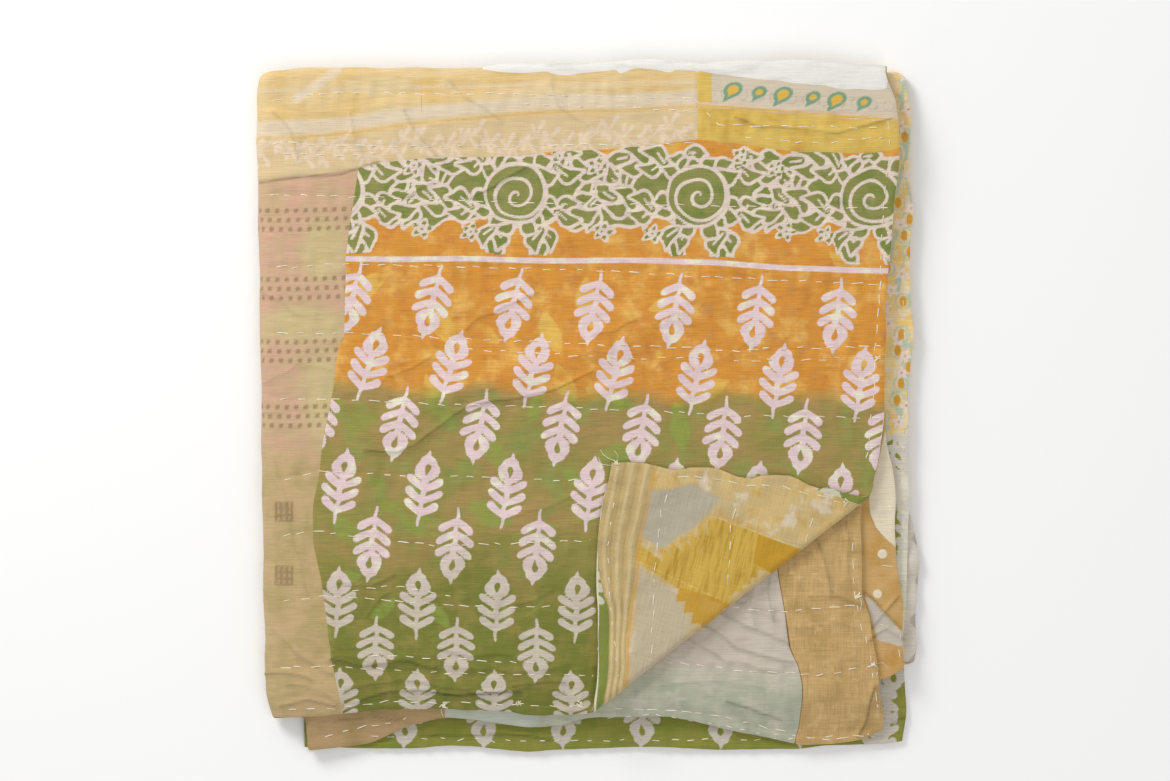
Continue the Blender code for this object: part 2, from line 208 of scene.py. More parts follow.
# Finer creases that show only up close, on the top layer and on those under it: points as seen
# from above, width and height, mm, and how dark the shade painted into the line in them is
FineCrease = namedtuple("FineCrease", "points width height dark")
TOP_CREASES = tuple(FineCrease(*row) for row in (
    (((4, 29), (-30, 14), (-98, 0), (-118, -14), (-139, -30), (-152, -35), (-178, -34)), 3.4, 1.2, 0.9),
    (((-94, 167), (-76, 176), (-50, 193)), 2.6, 1.0, 1.0),
    (((-150, 167), (-124, 180)), 2.4, 0.8, 0.7),
    (((-162, 24), (-142, 30), (-126, 40)), 2.6, 0.8, 0.7),
    (((-98, 62), (-91, 69), (-74, 77), (-40, 92)), 2.8, 0.8, 0.6),
    (((4, 57), (18, 60), (40, 72)), 2.4, 0.7, 0.6),
    (((90, 86), (10, 46), (-118, 8), (-174, -20)), 7.0, 0.9, 0.1),
    (((70, 40), (0, 8), (-60, -14)), 5.0, 0.8, 0.2),
    (((2, -66), (-40, -82), (-70, -90)), 4.0, 0.9, 0.4),
    (((150, 66), (110, 40), (60, 22)), 4.0, 0.6, 0.2),
    (((210, -4), (150, -24), (110, -40)), 4.0, 0.6, 0.2),
    (((-194, -226), (-150, -218), (-94, -226)), 3.0, 1.0, 0.6),
    (((-206, -198), (-166, -203), (-120, -198)), 3.0, 0.9, 0.4),
    (((-70, -234), (-48, -224), (-22, -226)), 3.0, 0.9, 0.5),
    (((-110, -206), (-60, -212), (-20, -208)), 3.0, 0.8, 0.4),
    (((-80, -178), (-30, -186), (-4, -184)), 3.0, 0.6, 0.2),
    (((-252, 236), (-238, 222), (-232, 200)), 3.0, 0.8, 0.5),
    (((-190, 236), (-186, 214), (-178, 200)), 2.6, 0.6, 0.3),
    (((-146, 238), (-134, 214), (-112, 196)), 3.2, 0.9, 0.5),
    (((-112, 262), (-96, 246), (-70, 232)), 3.0, 0.7, 0.4),
    (((-30, 262), (-24, 240), (0, 226)), 3.0, 0.6, 0.3),
    (((-262, 94), (-236, 76), (-214, 74)), 3.4, 0.7, 0.3),
    (((-258, 20), (-232, 34), (-206, 30)), 3.4, 0.6, 0.3),
    (((-250, -40), (-236, -100), (-224, -150)), 5.0, 0.8, 0.2),
    (((-252, -176), (-230, -200), (-206, -212)), 3.0, 0.9, 0.4),
    (((-240, -222), (-214, -226), (-200, -236)), 2.6, 0.8, 0.4),
    (((117, 232), (140, 224), (166, 223), (200, 220), (242, 230)), 2.6, 1.2, 0.8),
    (((100, 240), (150, 236), (210, 238)), 2.6, 0.7, 0.3),
    # The seam along the top of the printed field, a trough with shade painted into it
    (((-262, 181), (-225, 184), (-198, 186), (-186, 190), (-168, 196)), 1.6, -0.5, 1.0),
    (((-200, -141), (-174, -143), (-155, -133)), 1.8, 1.2, 0.6),
    (((-131, -226), (-109, -229), (-85, -228), (-55, -227)), 2.0, 1.7, 1.4),
    (((-206, -201), (-178, -205), (-150, -201), (-120, -208)), 1.9, 1.5, 0.9),
    (((-183, -234), (-159, -227), (-131, -226)), 1.9, 1.5, 1.1),
    (((-59, -223), (-42, -220), (-20, -219)), 1.9, 1.4, 0.9),
    (((-178, -167), (-165, -151), (-159, -148)), 1.8, 1.1, 0.5),
    (((-64, -158), (-42, -155), (-29, -147)), 1.8, 1.1, 0.5),
    (((-120, -192), (-96, -199), (-60, -197)), 1.8, 1.2, 0.6),
    (((-246, -238), (-222, -234), (-202, -238)), 1.8, 1.1, 0.8),
    (((-260, -214), (-240, -212), (-222, -218)), 2.0, 1.0, 0.7),
))
LOWER_CREASES = tuple(FineCrease(*row) for row in (
    # Pleats of the second layer that run out from under the turned corner
    (((88, -160), (106, -166), (132, -178), (160, -188)), 1.9, 1.6, 0.6),
    (((84, -172), (97, -177), (120, -192), (163, -204)), 1.9, 1.5, 0.6),
    (((78, -184), (92, -192), (112, -202), (150, -210)), 1.9, 1.1, 0.4),
    (((92, -152), (116, -158), (148, -166)), 1.9, 1.1, 0.3),
    (((106, -150), (130, -160), (150, -162)), 2.4, 0.8, 0.5),
    (((134, -140), (130, -158), (134, -176)), 3.0, 0.9, 0.4),
    (((146, -132), (144, -150), (150, -172)), 2.4, 0.9, 0.5),
    (((112, -236), (134, -242), (155, -249)), 2.4, 1.1, 0.9),
    (((60, -222), (100, -218), (140, -224)), 3.0, 0.6, 0.3),
    (((178, -90), (186, -112), (192, -132), (196, -150)), 2.2, 1.3, 0.7),
    (((164, -104), (170, -130), (166, -156)), 3.0, 0.9, 0.2),
    (((176, -152), (200, -150), (222, -160)), 2.4, 0.8, 0.5),
    (((166, -178), (196, -172), (220, -178)), 2.6, 0.6, 0.3),
    (((230, -222), (222, -254), (216, -264)), 3.0, 1.6, 1.0),
    (((206, -66), (208, -100), (207, -140)), 3.4, 1.0, 0.5),
    # Crumples of the third layer and of the lowest strip
    (((222, -148), (238, -164), (252, -176)), 2.2, 1.2, 1.0),
    (((248, -150), (238, -164), (228, -178)), 2.2, 1.0, 0.9),
    (((226, -186), (240, -178), (254, -186)), 2.2, 0.9, 0.8),
    (((-136, -264), (-94, -262), (-31, -266)), 2.2, 1.0, 0.9),
    (((244, -254), (249, -250), (255, -248)), 2.2, 1.0, 0.8),
    (((-204, -252), (-180, -248), (-150, -250)), 2.4, 0.9, 0.8),
))

# Rows of running stitch across the top layer: pairs of distance across and height, mm
TOP_ROWS = (
    ((-258, 246), (-200, 253), (-130, 252), (86, 248), (104, 226), (240, 224)),
    ((-256, 212), (-150, 209), (60, 211), (86, 212)),
    ((-256, 171), (-196, 169), (0, 163), (240, 160)),
    ((-256, 112), (-196, 115), (0, 110), (236, 98)),
    ((-256, 60), (-196, 60), (-60, 54), (120, 46), (236, 50)),
    ((-256, 8), (-206, 7), (-120, 3), (0, 0), (120, -6), (234, -8)),
    ((-252, -60), (-216, -50), (-140, -54), (-20, -58), (8, -56)),
    ((-252, -104), (-222, -98), (-120, -110), (2, -106)),
    ((-252, -156), (-212, -150), (-100, -158), (6, -160)),
    ((-250, -208), (-206, -206), (-120, -212), (4, -214)),
)
# Rows on the turned corner and on the lower layers, in the same units
FLAP_ROWS = (
    ((70, -54), (82, -55), (95, -56), (110, -58), (123, -61), (157, -62), (177, -69), (206, -76)),
)
SECOND_LAYER_ROWS = (
    ((106, -158), (150, -163), (216, -158)),
    ((52, -200), (66, -204), (134, -211), (186, -214), (228, -206)),
    ((8, -240), (60, -242), (100, -246), (140, -256), (160, -260)),
)
TOP_HEM_ROW = ((-244, -242), (-200, -240), (-158, -235), (-114, -236), (-50, -238), (-4, -238))
ROW_FURROW = 0.5 * MM
ROW_FURROW_WIDTH = 2.6 * MM
ROW_PUCKER = 0.42 * MM
ROW_PUCKER_WIDTH = 12.0 * MM
ROW_PUCKER_PITCH = 15.0 * MM

# Crumples in the washed cloth: pitch in mm, height in mm, and how much shorter they are up the
# quilt than across it
Crumple = namedtuple("Crumple", "pitch height squeeze")
CRUMPLES = (Crumple(34, 0.6, 1.3), Crumple(15, 0.48, 1.8), Crumple(7, 0.24, 2.2))
LOWEST_RELIEF = -1.0 * MM

# The base cloth and the patches on it
BASE_THICKNESS = 1.0 * MM
BASE_SINK = 1.1 * MM
UNDERSIDE_DROP = 0.6 * MM
FLOOR_GAP = 0.15 * MM
PATCH_RIM = 2.2 * MM
PATCH_RIM_DROP = 0.6 * MM
EDGE_WANDER = 1.0 * MM
EDGE_WANDER_PITCH = 22 * MM
HEM_WIDTH = 7 * MM
HEM_RISE = 0.5 * MM
CREASE_SHADE_WIDTH = 1.0 * MM
CREASE_WAVE = 1.5 * MM
# Spacing of a patch's points, mm
FINE_STEP = 1.55
PLAIN_STEP = 2.2
# A distance in mm that is clear of any print
FAR = 9.0
# Seeds for the waves of edges on each side
LEFT, RIGHT, BOTTOM, TOP = 5, 6, 7, 8

# Weave: how many lumps a metre of it has across and up the cloth, and how deep they are
WEFT_SCALE = (45, 1150, 1)
WARP_SCALE = (1150, 60, 1)
THREAD_DEPTH = 0.6 * MM
# How much the shade painted into the line of a sharp crease darkens the cloth
CREASE_DARKNESS = 0.55

StudioLight = namedtuple("StudioLight", "name place size power")
STUDIO_LIGHTS = (
    StudioLight("key", (-1.3, 1.6, 1.35), 1.0, 36),
    StudioLight("fill", (0.9, -1.2, 2.6), 2.4, 22),
)

# The photograph's view: its frame is this wide on the quilt, and the camera looks straight down
VIEW_WIDTH = 936 * MM
VIEW_CENTRE = (-2.4 * MM, 14.0 * MM)
CAMERA_HEIGHT = 3.0


def smooth_step(share):
    """An even ease from 0 to 1, and flat beyond both."""
    share = np.clip(share, 0.0, 1.0)
    return share * share * (3.0 - 2.0 * share)


def curve_through(table, at):
    """The smooth curve through a table of pairs in mm, read at distances in metres. It never
    swings past its pairs."""
    pairs = np.array(sorted(table), float) * MM
    stations, values = pairs[:, 0], pairs[:, 1]
    secants = np.diff(values) / np.diff(stations)
    product = secants[:-1] * secants[1:]
    total = np.where(product > 0, secants[:-1] + secants[1:], 1.0)
    inner = np.where(product > 0, 2 * product / total, 0.0)
    slopes = np.concatenate((secants[:1], inner, secants[-1:]))
    at = np.clip(at, stations[0], stations[-1])
    index = np.clip(np.searchsorted(stations, at) - 1, 0, len(stations) - 2)
    span = stations[index + 1] - stations[index]
    share = (at - stations[index]) / span
    start_weight = 2 * share**3 - 3 * share**2 + 1
    return (
        start_weight * values[index]
        + (1 - start_weight) * values[index + 1]
        + (share**3 - 2 * share**2 + share) * span * slopes[index]
        + (share**3 - share**2) * span * slopes[index + 1]
    )


def wander(at, side):
    """How far the sewing draws one side's edge in or out at each place along it."""
    return EDGE_WANDER * noise_field(at, 0 * at, EDGE_WANDER_PITCH, side)


def layer_height(layer):
    """The height of a layer's middle, before the layers settle."""
    return CLOTH_THICKNESS / 2 + layer * LAYER_PITCH


def inset(level, up):
    """How far a layer's part of the left fold stands inside the outermost one."""
    inwards = TOP_LEVEL - level
    first = curve_through(FIRST_INSET, up)
    return first * np.minimum(inwards, 1.0) + NEXT_INSET * np.maximum(inwards - 1.0, 0.0)


def fold_centre(level, up):
    """Where a layer's part of the left fold has the centre of its curve."""
    return curve_through(LEFT_FOLD, up) + wander(up, LEFT) + inset(level, up) + level * LAYER_PITCH


def layer_of(half, level):
    """The number of the layer at a level of the upper or the lower half."""
    return round(MIDDLE_LAYER + (level if half == "upper" else -level))


def flat_stretch(half, stretch, from_top, across):
    """Plan positions on a flat stretch: from_top is 0 at the top fold and 1 at its lower edge, and
    across is 0 at the left fold and 1 at the right hem."""
    layer = layer_of(half, stretch.start_level)
    top_centre = OUTER_FOLD_RADIUS * LAYER_PITCH
    bottom_centre = 0.0 if layer in (7, 6, 1, 0) else INNER_FOLD_RADIUS * LAYER_PITCH
    up = STRETCH_TOP + (STRETCH_BOTTOM - STRETCH_TOP) * from_top
    for _ in range(3):
        left = fold_centre(stretch.start_level, up)
        right = curve_through(RIGHT_HEMS[layer], up) + wander(up, RIGHT)
        x = left + (right - left) * across
        top = curve_through(TOP_FOLDS[half], x) + wander(x, TOP) - top_centre
        bottom = curve_through(BOTTOM_EDGES[layer], x) + wander(x, BOTTOM) + bottom_centre
        up = top + (bottom - top) * from_top
    return x, up


def crosswise_fold(half, index, share, across):
    """Plan positions and levels round the fold between two flat stretches."""
    before, fold, after = STRETCHES[index - 1 : index + 2]
    at_top = fold.name != "bottom fold"
    end = 0.0 if at_top else 1.0
    x_before, up_before = flat_stretch(half, before, end, across)
    x_after, up_after = flat_stretch(half, after, end, across)
    middle = (fold.start_level + fold.end_level) / 2
    radius = (fold.start_level - fold.end_level) / 2
    out = abs(radius) * LAYER_PITCH * np.sin(pi * share)
    x = x_before + (x_after - x_before) * share
    up = up_before + (up_after - up_before) * share + (out if at_top else -out)
    return x, up, middle + radius * np.cos(pi * share)


def half_of_stack(half, along, across):
    """Plan positions and levels for one half of the folded cloth."""
    x, up, level = np.zeros_like(along), np.zeros_like(along), np.zeros_like(along)
    stretch_index = np.clip(along.astype(int), 0, len(STRETCHES) - 1)
    for index, stretch in enumerate(STRETCHES):
        here = stretch_index == index
        share = along[here] - index
        if stretch.start_level == stretch.end_level:
            from_top = 1 - share if stretch.name in RUN_UPWARDS else share
            x[here], up[here] = flat_stretch(half, stretch, from_top, across[here])
            level[here] = stretch.start_level
        else:
            x[here], up[here], level[here] = crosswise_fold(half, index, share, across[here])
    return x, up, level


def folded_positions(along, around):
    """The folded cloth with its layers level: around is 0 to 1 from the upper hem to the left
    fold, 1 to 2 round the fold and 2 to 3 from there to the lower hem."""
    upper_x, upper_up, level = half_of_stack("upper", along, np.clip(1 - around, 0, 1))
    lower_x, lower_up, _ = half_of_stack("lower", along, np.clip(around - 2, 0, 1))
    turn = pi * np.clip(around - 1, 0, 1)
    lower_share = (1 - np.cos(turn)) / 2
    reach = level * LAYER_PITCH
    x = np.where(around > 1.5, lower_x, upper_x) - reach * np.sin(turn)
    up = upper_up + (lower_up - upper_up) * lower_share
    height = layer_height(MIDDLE_LAYER) + reach * np.cos(turn)
    return x, up, height


def gone(layer, x, up):
    """How far beyond a layer's edges a place is, from 0 on the layer to 1 where those above it
    have come down by a whole layer."""
    below = smooth_step((curve_through(BOTTOM_EDGES[layer], x) - DROP_START - up) / BOTTOM_RUN)
    beside = smooth_step((x - curve_through(RIGHT_HEMS[layer], up) - DROP_START) / SIDE_RUN)
    fold = curve_through(LEFT_FOLD, up)
    below *= 1 - FOLD_LOFT * smooth_step(1 - (x - fold) / FOLD_LOFT_RUN)
    nose = fold + inset(abs(layer - MIDDLE_LAYER), up)
    inside = LEFT_SHARE * smooth_step((nose - x - DROP_START) / LEFT_RUN)
    return np.maximum(np.maximum(below, beside), inside)


def away_from_line(x, up, start, end):
    """Distance in metres to a straight line between two plan points in mm."""
    start = np.array(start) * MM
    run = np.array(end) * MM - start
    share = np.clip(((x - start[0]) * run[0] + (up - start[1]) * run[1]) / (run @ run), 0.0, 1.0)
    return np.hypot(x - start[0] - share * run[0], up - start[1] - share * run[1])


def broad_creases(x, up):
    total = np.zeros_like(x)
    for crease in BROAD_CREASES:
        start, end = (crease.from_x, crease.from_y), (crease.to_x, crease.to_y)
        away = away_from_line(x, up, start, end)
        total += crease.height * MM * np.exp(-((away / (crease.width * MM)) ** 2))
    return total


def fine_creases(x, up, creases):
    """The height that fine creases add, and the painted shade in their lines, from 0 to 1."""
    height, dark = np.zeros_like(x), np.zeros_like(x)
    bent_x = x + CREASE_WAVE * noise_field(x, up, 16 * MM, 51)
    bent_up = up + CREASE_WAVE * noise_field(x, up, 14 * MM, 52)
    for crease in creases:
        away = np.full(x.shape, 1.0)
        for start, end in zip(crease.points, crease.points[1:]):
            away = np.minimum(away, away_from_line(bent_x, bent_up, start, end))
        height += crease.height * MM * np.exp(-((away / (crease.width * MM)) ** 2))
        dark = np.maximum(dark, crease.dark * np.exp(-((away / CREASE_SHADE_WIDTH) ** 2)))
    return height, dark * (0.8 + 0.2 * noise_field(x, up, 8 * MM, 17))


def settled(x, up, height):
    """The height of a point of the level stack once its layers have settled on each other."""
    lowest = layer_height(0)
    settled_height = height.copy()
    for layer in range(LAYERS):
        passed = np.clip((height - layer_height(layer)) / LAYER_PITCH, 0.0, 1.0)
        settled_height -= LAYER_PITCH * gone(layer, x, up) * passed
    share = (settled_height - lowest) / (layer_height(7) - lowest)
    left = smooth_step(1 - (x - curve_through(LEFT_FOLD, up)) / EDGE_EASE_RUN)
    top = smooth_step(1 - (curve_through(TOP_FOLDS["upper"], x) - up) / EDGE_EASE_RUN)
    eased = EDGE_EASE * np.maximum(left, top)
    swell = share * broad_creases(x, up)
    return lowest + (settled_height - lowest) * (1 - eased) + swell


def turn_directions():
    """The turned corner's fold line, its length and the direction outwards across it."""
    line = TURN_LEFT - TURN_RIGHT
    along_line = line.normalized()
    outwards = Vector((-along_line.y, along_line.x))
    if outwards.x < 0:
        outwards = -outwards
    return along_line, line.length, outwards


def turn_back(x, up):
    """The plan position of the top layer with its corner turned back, and how far each point
    stands above the layer."""
    along_line, length, outwards = turn_directions()
    away = (x - TURN_RIGHT.x) * outwards.x + (up - TURN_RIGHT.y) * outwards.y
    place = ((x - TURN_RIGHT.x) * along_line.x + (up - TURN_RIGHT.y) * along_line.y) / length
    lift = TURN_LIFT_RIGHT + (TURN_LIFT_LEFT - TURN_LIFT_RIGHT) * smooth_step(place)
    turn = pi * np.clip(away / TURN_ARC, 0.0, 1.0)
    beyond = np.maximum(away - TURN_ARC, 0.0)
    radius = TURN_ARC / pi
    new_away = np.where(away > 0, radius * np.sin(turn) - beyond, away)
    height = np.where(away > 0, lift * (1 - np.cos(turn)) / 2, 0.0)
    height += (TURN_REST - lift) * smooth_step(beyond / TURN_SETTLE_RUN)
    ridges = np.zeros_like(x)
    for ridge in FLAP_RIDGES:
        ridges += np.exp(-(((beyond - ridge * MM) / FLAP_RIDGE_WIDTH) ** 2))
    height += FLAP_RIDGE_HEIGHT * ridges * smooth_step(beyond / FLAP_RIDGE_WIDTH)
    shift = new_away - away
    return x + shift * outwards.x, up + shift * outwards.y, height


def noise_field(x, up, pitch, seed):
    """Smooth unevenness from -1 to 1, with lumps of about the given pitch in metres."""
    draws = np.random.default_rng(seed).uniform(-1, 1, (64, 64))
    column, row = x / pitch + 1000.3, up / pitch + 1000.7
    left, low = np.floor(column).astype(int), np.floor(row).astype(int)
    across, rise = smooth_step(column - left), smooth_step(row - low)
    lower = draws[low % 64, left % 64] * (1 - across) + draws[low % 64, (left + 1) % 64] * across
    upper = (draws[(low + 1) % 64, left % 64] * (1 - across)
             + draws[(low + 1) % 64, (left + 1) % 64] * across)
    return lower * (1 - rise) + upper * rise


def fine_relief(x, up, rows, creases):
    """The height of creases, crumples and the furrows and puckers along the stitched rows, and
    how dark the shade painted into the creases is."""
    relief, dark = fine_creases(x, up, creases)
    for number, crumple in enumerate(CRUMPLES):
        lumps = noise_field(x, up * crumple.squeeze, crumple.pitch * MM, 3 + number)
        relief += crumple.height * MM * lumps
    for number, row in enumerate(rows):
        away = up - curve_through(row, x)
        ends = (x > row[0][0] * MM) & (x < row[-1][0] * MM)
        furrow = -ROW_FURROW * np.exp(-((away / ROW_FURROW_WIDTH) ** 2))
        wave = np.sin(2 * pi * x / ROW_PUCKER_PITCH + 4.0 * noise_field(x, up, 50 * MM, number))
        wave += noise_field(x, up * 0.3, 9 * MM, number + 40)
        pucker = ROW_PUCKER * wave * np.exp(-((away / ROW_PUCKER_WIDTH) ** 2))
        relief += np.where(ends, furrow + pucker, 0.0)
    return np.maximum(relief, LOWEST_RELIEF), dark


def lie_on(layer, x, up):
    """Where points of a layer lie once it is folded and settled. Past the top fold or the left
    fold they follow it round, and on the top layer's corner they follow the turn."""
    height = np.full_like(x, layer_height(layer))
    level = np.full_like(x, abs(layer - MIDDLE_LAYER))
    lift = np.zeros_like(x)
    half = "upper" if layer > 3 else "lower"
    if layer in (7, 3):
        fold = OUTER_FOLD_RADIUS * LAYER_PITCH
        centre = curve_through(TOP_FOLDS[half], x) + wander(x, TOP) - fold
        turn = np.clip((up - centre) / fold, 0.0, pi)
        up = np.where(turn > 0, centre + fold * np.sin(turn), up)
        step = OUTER_FOLD_RADIUS * (1 - np.cos(turn))
        level = level - step if layer == 7 else level + step
    if layer > 3:
        centre = fold_centre(level, up)
        turn = np.clip((centre - x) / (TOP_LEVEL * LAYER_PITCH), 0.0, pi)
        x = np.where(turn > 0, centre - level * LAYER_PITCH * np.sin(turn), x)
        height = layer_height(MIDDLE_LAYER) + level * LAYER_PITCH * np.cos(turn)
    else:
        height = layer_height(MIDDLE_LAYER) - level * LAYER_PITCH
    if layer == 7:
        x, up, lift = turn_back(x, up)
    return np.stack((x, up, settled(x, up, height) + lift), axis=-1)


def outline_grid(left, right, bottom, top, step):
    """Plan positions over a patch with four curved edges, a row of points every step (mm). The
    left and right edges are pairs of height and distance across, and the others the reverse."""
    middle_x = np.mean([x for _, x in left + right]) * MM
    low, high = (float(curve_through(edge, np.array(middle_x))) for edge in (bottom, top))
    middle_up = np.array((low + high) / 2)
    width = float(curve_through(right, middle_up) - curve_through(left, middle_up))
    columns = max(4, round(width / (step * MM)))
    rows = max(4, round((high - low) / (step * MM)))
    across, rise = np.meshgrid(np.linspace(0, 1, columns + 1), np.linspace(0, 1, rows + 1))
    up = low + (high - low) * rise
    for _ in range(4):
        start = curve_through(left, up) + wander(up, LEFT)
        end = curve_through(right, up) + wander(up, RIGHT)
        x = start + (end - start) * across
        floor = curve_through(bottom, x) + wander(x, BOTTOM)
        ceiling = curve_through(top, x) + wander(x, TOP)
        up = floor + (ceiling - floor) * rise
    return x, up


def in_mm(grid):
    """Distances across and up the quilt, for the prints, which are drawn in mm."""
    return grid[0] / MM, grid[1] / MM


def surface_normals(points):
    across = np.gradient(points, axis=1)
    rise = np.gradient(points, axis=0)
    normal = np.cross(across, rise)
    return normal / np.maximum(np.linalg.norm(normal, axis=-1, keepdims=True), 1e-12)


def new_object(name, data):
    """Adds an object with a mesh, a light or a camera to the scene."""
    made = bpy.data.objects.new(name, data)
    bpy.context.scene.collection.objects.link(made)
    return made


def grid_faces(rows, columns):
    """The faces of a grid of points that is numbered row by row."""
    corner = np.arange(rows * columns).reshape(rows, columns)
    faces = np.stack((corner[:-1, :-1], corner[:-1, 1:], corner[1:, 1:], corner[1:, :-1]), axis=-1)
    return faces.reshape(-1, 4)


def grid_mesh(name, points, x, up, prints, keep):
    """A mesh over the kept points of a grid, with its flat-cloth places as its UV map, and a
    number at each point for each print, most of them distances in mm to the print's edge. Its
    cloth's area comes back with it."""
    faces = grid_faces(*x.shape)
    faces = faces[keep.ravel()[faces].all(axis=1)]
    used, faces = np.unique(faces, return_inverse=True)
    faces = faces.reshape(-1, 4)
    flat = np.column_stack((x.ravel(), up.ravel()))[used]
    mesh = bpy.data.meshes.new(name)
    mesh.from_pydata(points.reshape(-1, 3)[used], [], faces)
    places = mesh.uv_layers.new(name="flat_cloth")
    places.data.foreach_set("uv", flat[faces.ravel()].ravel())
    for print_name, values in prints.items():
        attribute = mesh.attributes.new(print_name, "FLOAT", "POINT")
        attribute.data.foreach_set("value", np.asarray(values, float).ravel()[used])
    mesh.shade_smooth()
    piece = new_object(name, mesh)
    across, rise = (flat[faces[:, b]] - flat[faces[:, a]] for a, b in ((0, 2), (1, 3)))
    area = np.abs(across[:, 0] * rise[:, 1] - across[:, 1] * rise[:, 0]).sum() / 2
    return piece, flat, float(area)


def lay_patch(name, layer, grid, rise, prints, material, rows=(), face=1, shape=None, hems="",
              keep=None, relieved=True):
    """A patch of cloth sewn onto a layer: rise is its height over the layer's middle, and face is
    1 on the layer's upper side and -1 on its other side. Its rims curl down. hems names sides by
    their first letters: a hem is turned under and so stands thicker."""
    x, up = grid
    middle = lie_on(layer, x, up)
    creases = LOWER_CREASES if layer < 7 else TOP_CREASES if face > 0 else ()
    relief, dark = fine_relief(middle[..., 0], middle[..., 1], rows, creases)
    if not relieved:
        relief = relief * 0
    if shape is not None:
        relief = relief + shape(x, up)
    count, width = x.shape
    step = np.hypot(x[0, 1] - x[0, 0], up[0, 1] - up[0, 0])
    column, row = np.meshgrid(np.arange(width), np.arange(count))
    sides = {"l": column, "r": width - 1 - column, "b": row, "t": count - 1 - row}
    rim_near = np.minimum.reduce(list(sides.values())) * step
    hem_near = np.minimum.reduce([sides[side] * step for side in hems] + [np.full(x.shape, 1e3)])
    rim = PATCH_RIM_DROP * (1 - smooth_step(rim_near / PATCH_RIM))
    relief = relief + HEM_RISE * smooth_step((HEM_WIDTH - hem_near) / PATCH_RIM)
    # The creases' painted shade goes to the cloth's colour as the attribute shade
    prints = {**prints, "shade": dark}
    normals = surface_normals(middle)
    upward = relief * np.sign(normals[..., 2]) * smooth_step(np.abs(normals[..., 2]) * 2)
    points = middle + normals * (face * (rise - rim) + upward)[..., None]
    points[..., 2] = np.maximum(points[..., 2], FLOOR_GAP)
    keep = np.ones(x.shape, bool) if keep is None else keep
    piece, flat, area = grid_mesh(name, points, x, up, prints, keep)
    if face < 0:
        piece.data.flip_normals()
    piece.data.materials.append(material)
    piece["sari_patch"] = True
    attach(piece, "root")
    width, length = (flat.max(axis=0) - flat.min(axis=0)).tolist()


# Distances to drawn shapes, all in mm, below zero inside a shape


def to_stroke(x, y, start, end, start_radius, end_radius):
    """Distance to a round-ended stroke that grows from one radius to another."""
    run = np.subtract(end, start)
    share = np.clip(((x - start[0]) * run[0] + (y - start[1]) * run[1]) / (run @ run), 0, 1)
    away = np.hypot(x - start[0] - share * run[0], y - start[1] - share * run[1])
    return away - start_radius - (end_radius - start_radius) * share


def to_oval(x, y, centre, half_width, half_height):
    scaled = np.hypot((x - centre[0]) / half_width, (y - centre[1]) / half_height)
    return (scaled - 1) * min(half_width, half_height)


def to_polygon(x, y, corners):
    """Distance to a closed outline of straight edges."""
    nearest = np.full(x.shape, 1e6)
    inside = np.zeros(x.shape, bool)
    for (ax, ay), (bx, by) in zip(corners, corners[1:] + corners[:1]):
        nearest = np.minimum(nearest, to_stroke(x, y, (ax, ay), (bx, by), 0, 0))
        crossing = (ay > y) != (by > y)
        height = by - ay if by != ay else 1e-9
        inside ^= crossing & (x < ax + (bx - ax) * (y - ay) / height)
    return np.where(inside, -nearest, nearest)


def turned(x, y, degrees):
    """Places seen along axes that are turned anticlockwise by an angle."""
    angle = np.radians(degrees)
    return x * np.cos(angle) + y * np.sin(angle), y * np.cos(angle) - x * np.sin(angle)


def leaf_block(x, y):
    """The block-printed leaf: a stem above three pairs of round lobes and a pointed bud below."""
    side_x = np.abs(x)
    droop = y + 0.012 * side_x**2
    shape = np.minimum(to_stroke(x, y, (0, 33), (0, 22), 1.0, 1.6),
                       to_stroke(x, y, (0, 24), (0, -8), 1.2, 2.8))
    for joint, reach in ((22.0, 10.6), (12.2, 11.8), (2.4, 11.4)):
        lobe = to_stroke(side_x, droop, (1.5, joint), (reach, joint - 4.4), 2.6, 3.45)
        shape = np.minimum(shape, lobe)
    teeth = 1.2 * np.abs(((np.arctan2(y + 14, side_x) * 3.6) % 1.0) - 0.5) - 0.4
    bud = np.minimum(to_oval(x, y, (0, -11.9), 9.9, 8.3), to_oval(x, y, (0, -17.6), 7.0, 6.2))
    bud = np.minimum(bud, to_stroke(x, y, (0, -18), (0, -27.8), 4.6, 0.3))
    shape = np.minimum(shape, bud + teeth)
    drop = np.minimum(to_oval(x, y, (0, -13.8), 2.5, 3.2),
                      to_stroke(x, y, (0, -12.6), (0, -7), 2.1, 0.3))
    return np.maximum(shape, -drop)


def leaf_field(x, y, rows):
    """Distance to the nearest of the printed leaves in rows: each row has its height at x = 0,
    its fall to the right, its first leaf, the leaves' pitch and number, which way up, tilt and
    how tall they are."""
    nearest = np.full(x.shape, FAR)
    for height, fall, first, pitch, count, upright, tilt, tall in rows:
        for number in range(count):
            centre_x = first + number * pitch
            centre_y = height - fall * centre_x
            close = (np.abs(x - centre_x) < 30) & (np.abs(y - centre_y) < 40)
            if not close.any():
                continue
            lean = tilt * (1 - 0.7 * number / max(count, 2))
            local_x, local_y = turned(x[close] - centre_x, y[close] - centre_y, -lean)
            wobble = 0.5 * np.sin(local_y * 0.35 + number * 2.1 + height)
            leaf = leaf_block(local_x + wobble, local_y * upright / tall)
            nearest[close] = np.minimum(nearest[close], leaf)
    return nearest


# Rows of leaves on the field
LeafRow = namedtuple("LeafRow", "height fall first pitch count upright tilt tall", defaults=(1.0,))
FIELD_LEAVES = tuple(LeafRow(*row) for row in (
    (77.6, 0.034, -190, 64.8, 8, 1, 16),
    (31.0, 0.042, -174, 65.4, 8, -1, 18),
    (-20.3, 0.032, -216, 64.6, 8, 1, 14),
    (-65.5, 0.030, -197, 66.4, 8, -1, 11),
    (-115.5, 0.023, -239, 65.9, 9, 1, 8),
    (-157, 0.022, -200, 63.6, 8, -1, 3, 0.93),
    (-197, 0.014, -234, 64.2, 9, 1, 2, 0.84),
    (-232, 0.010, -198, 61.5, 8, -1, 0, 0.8),
))

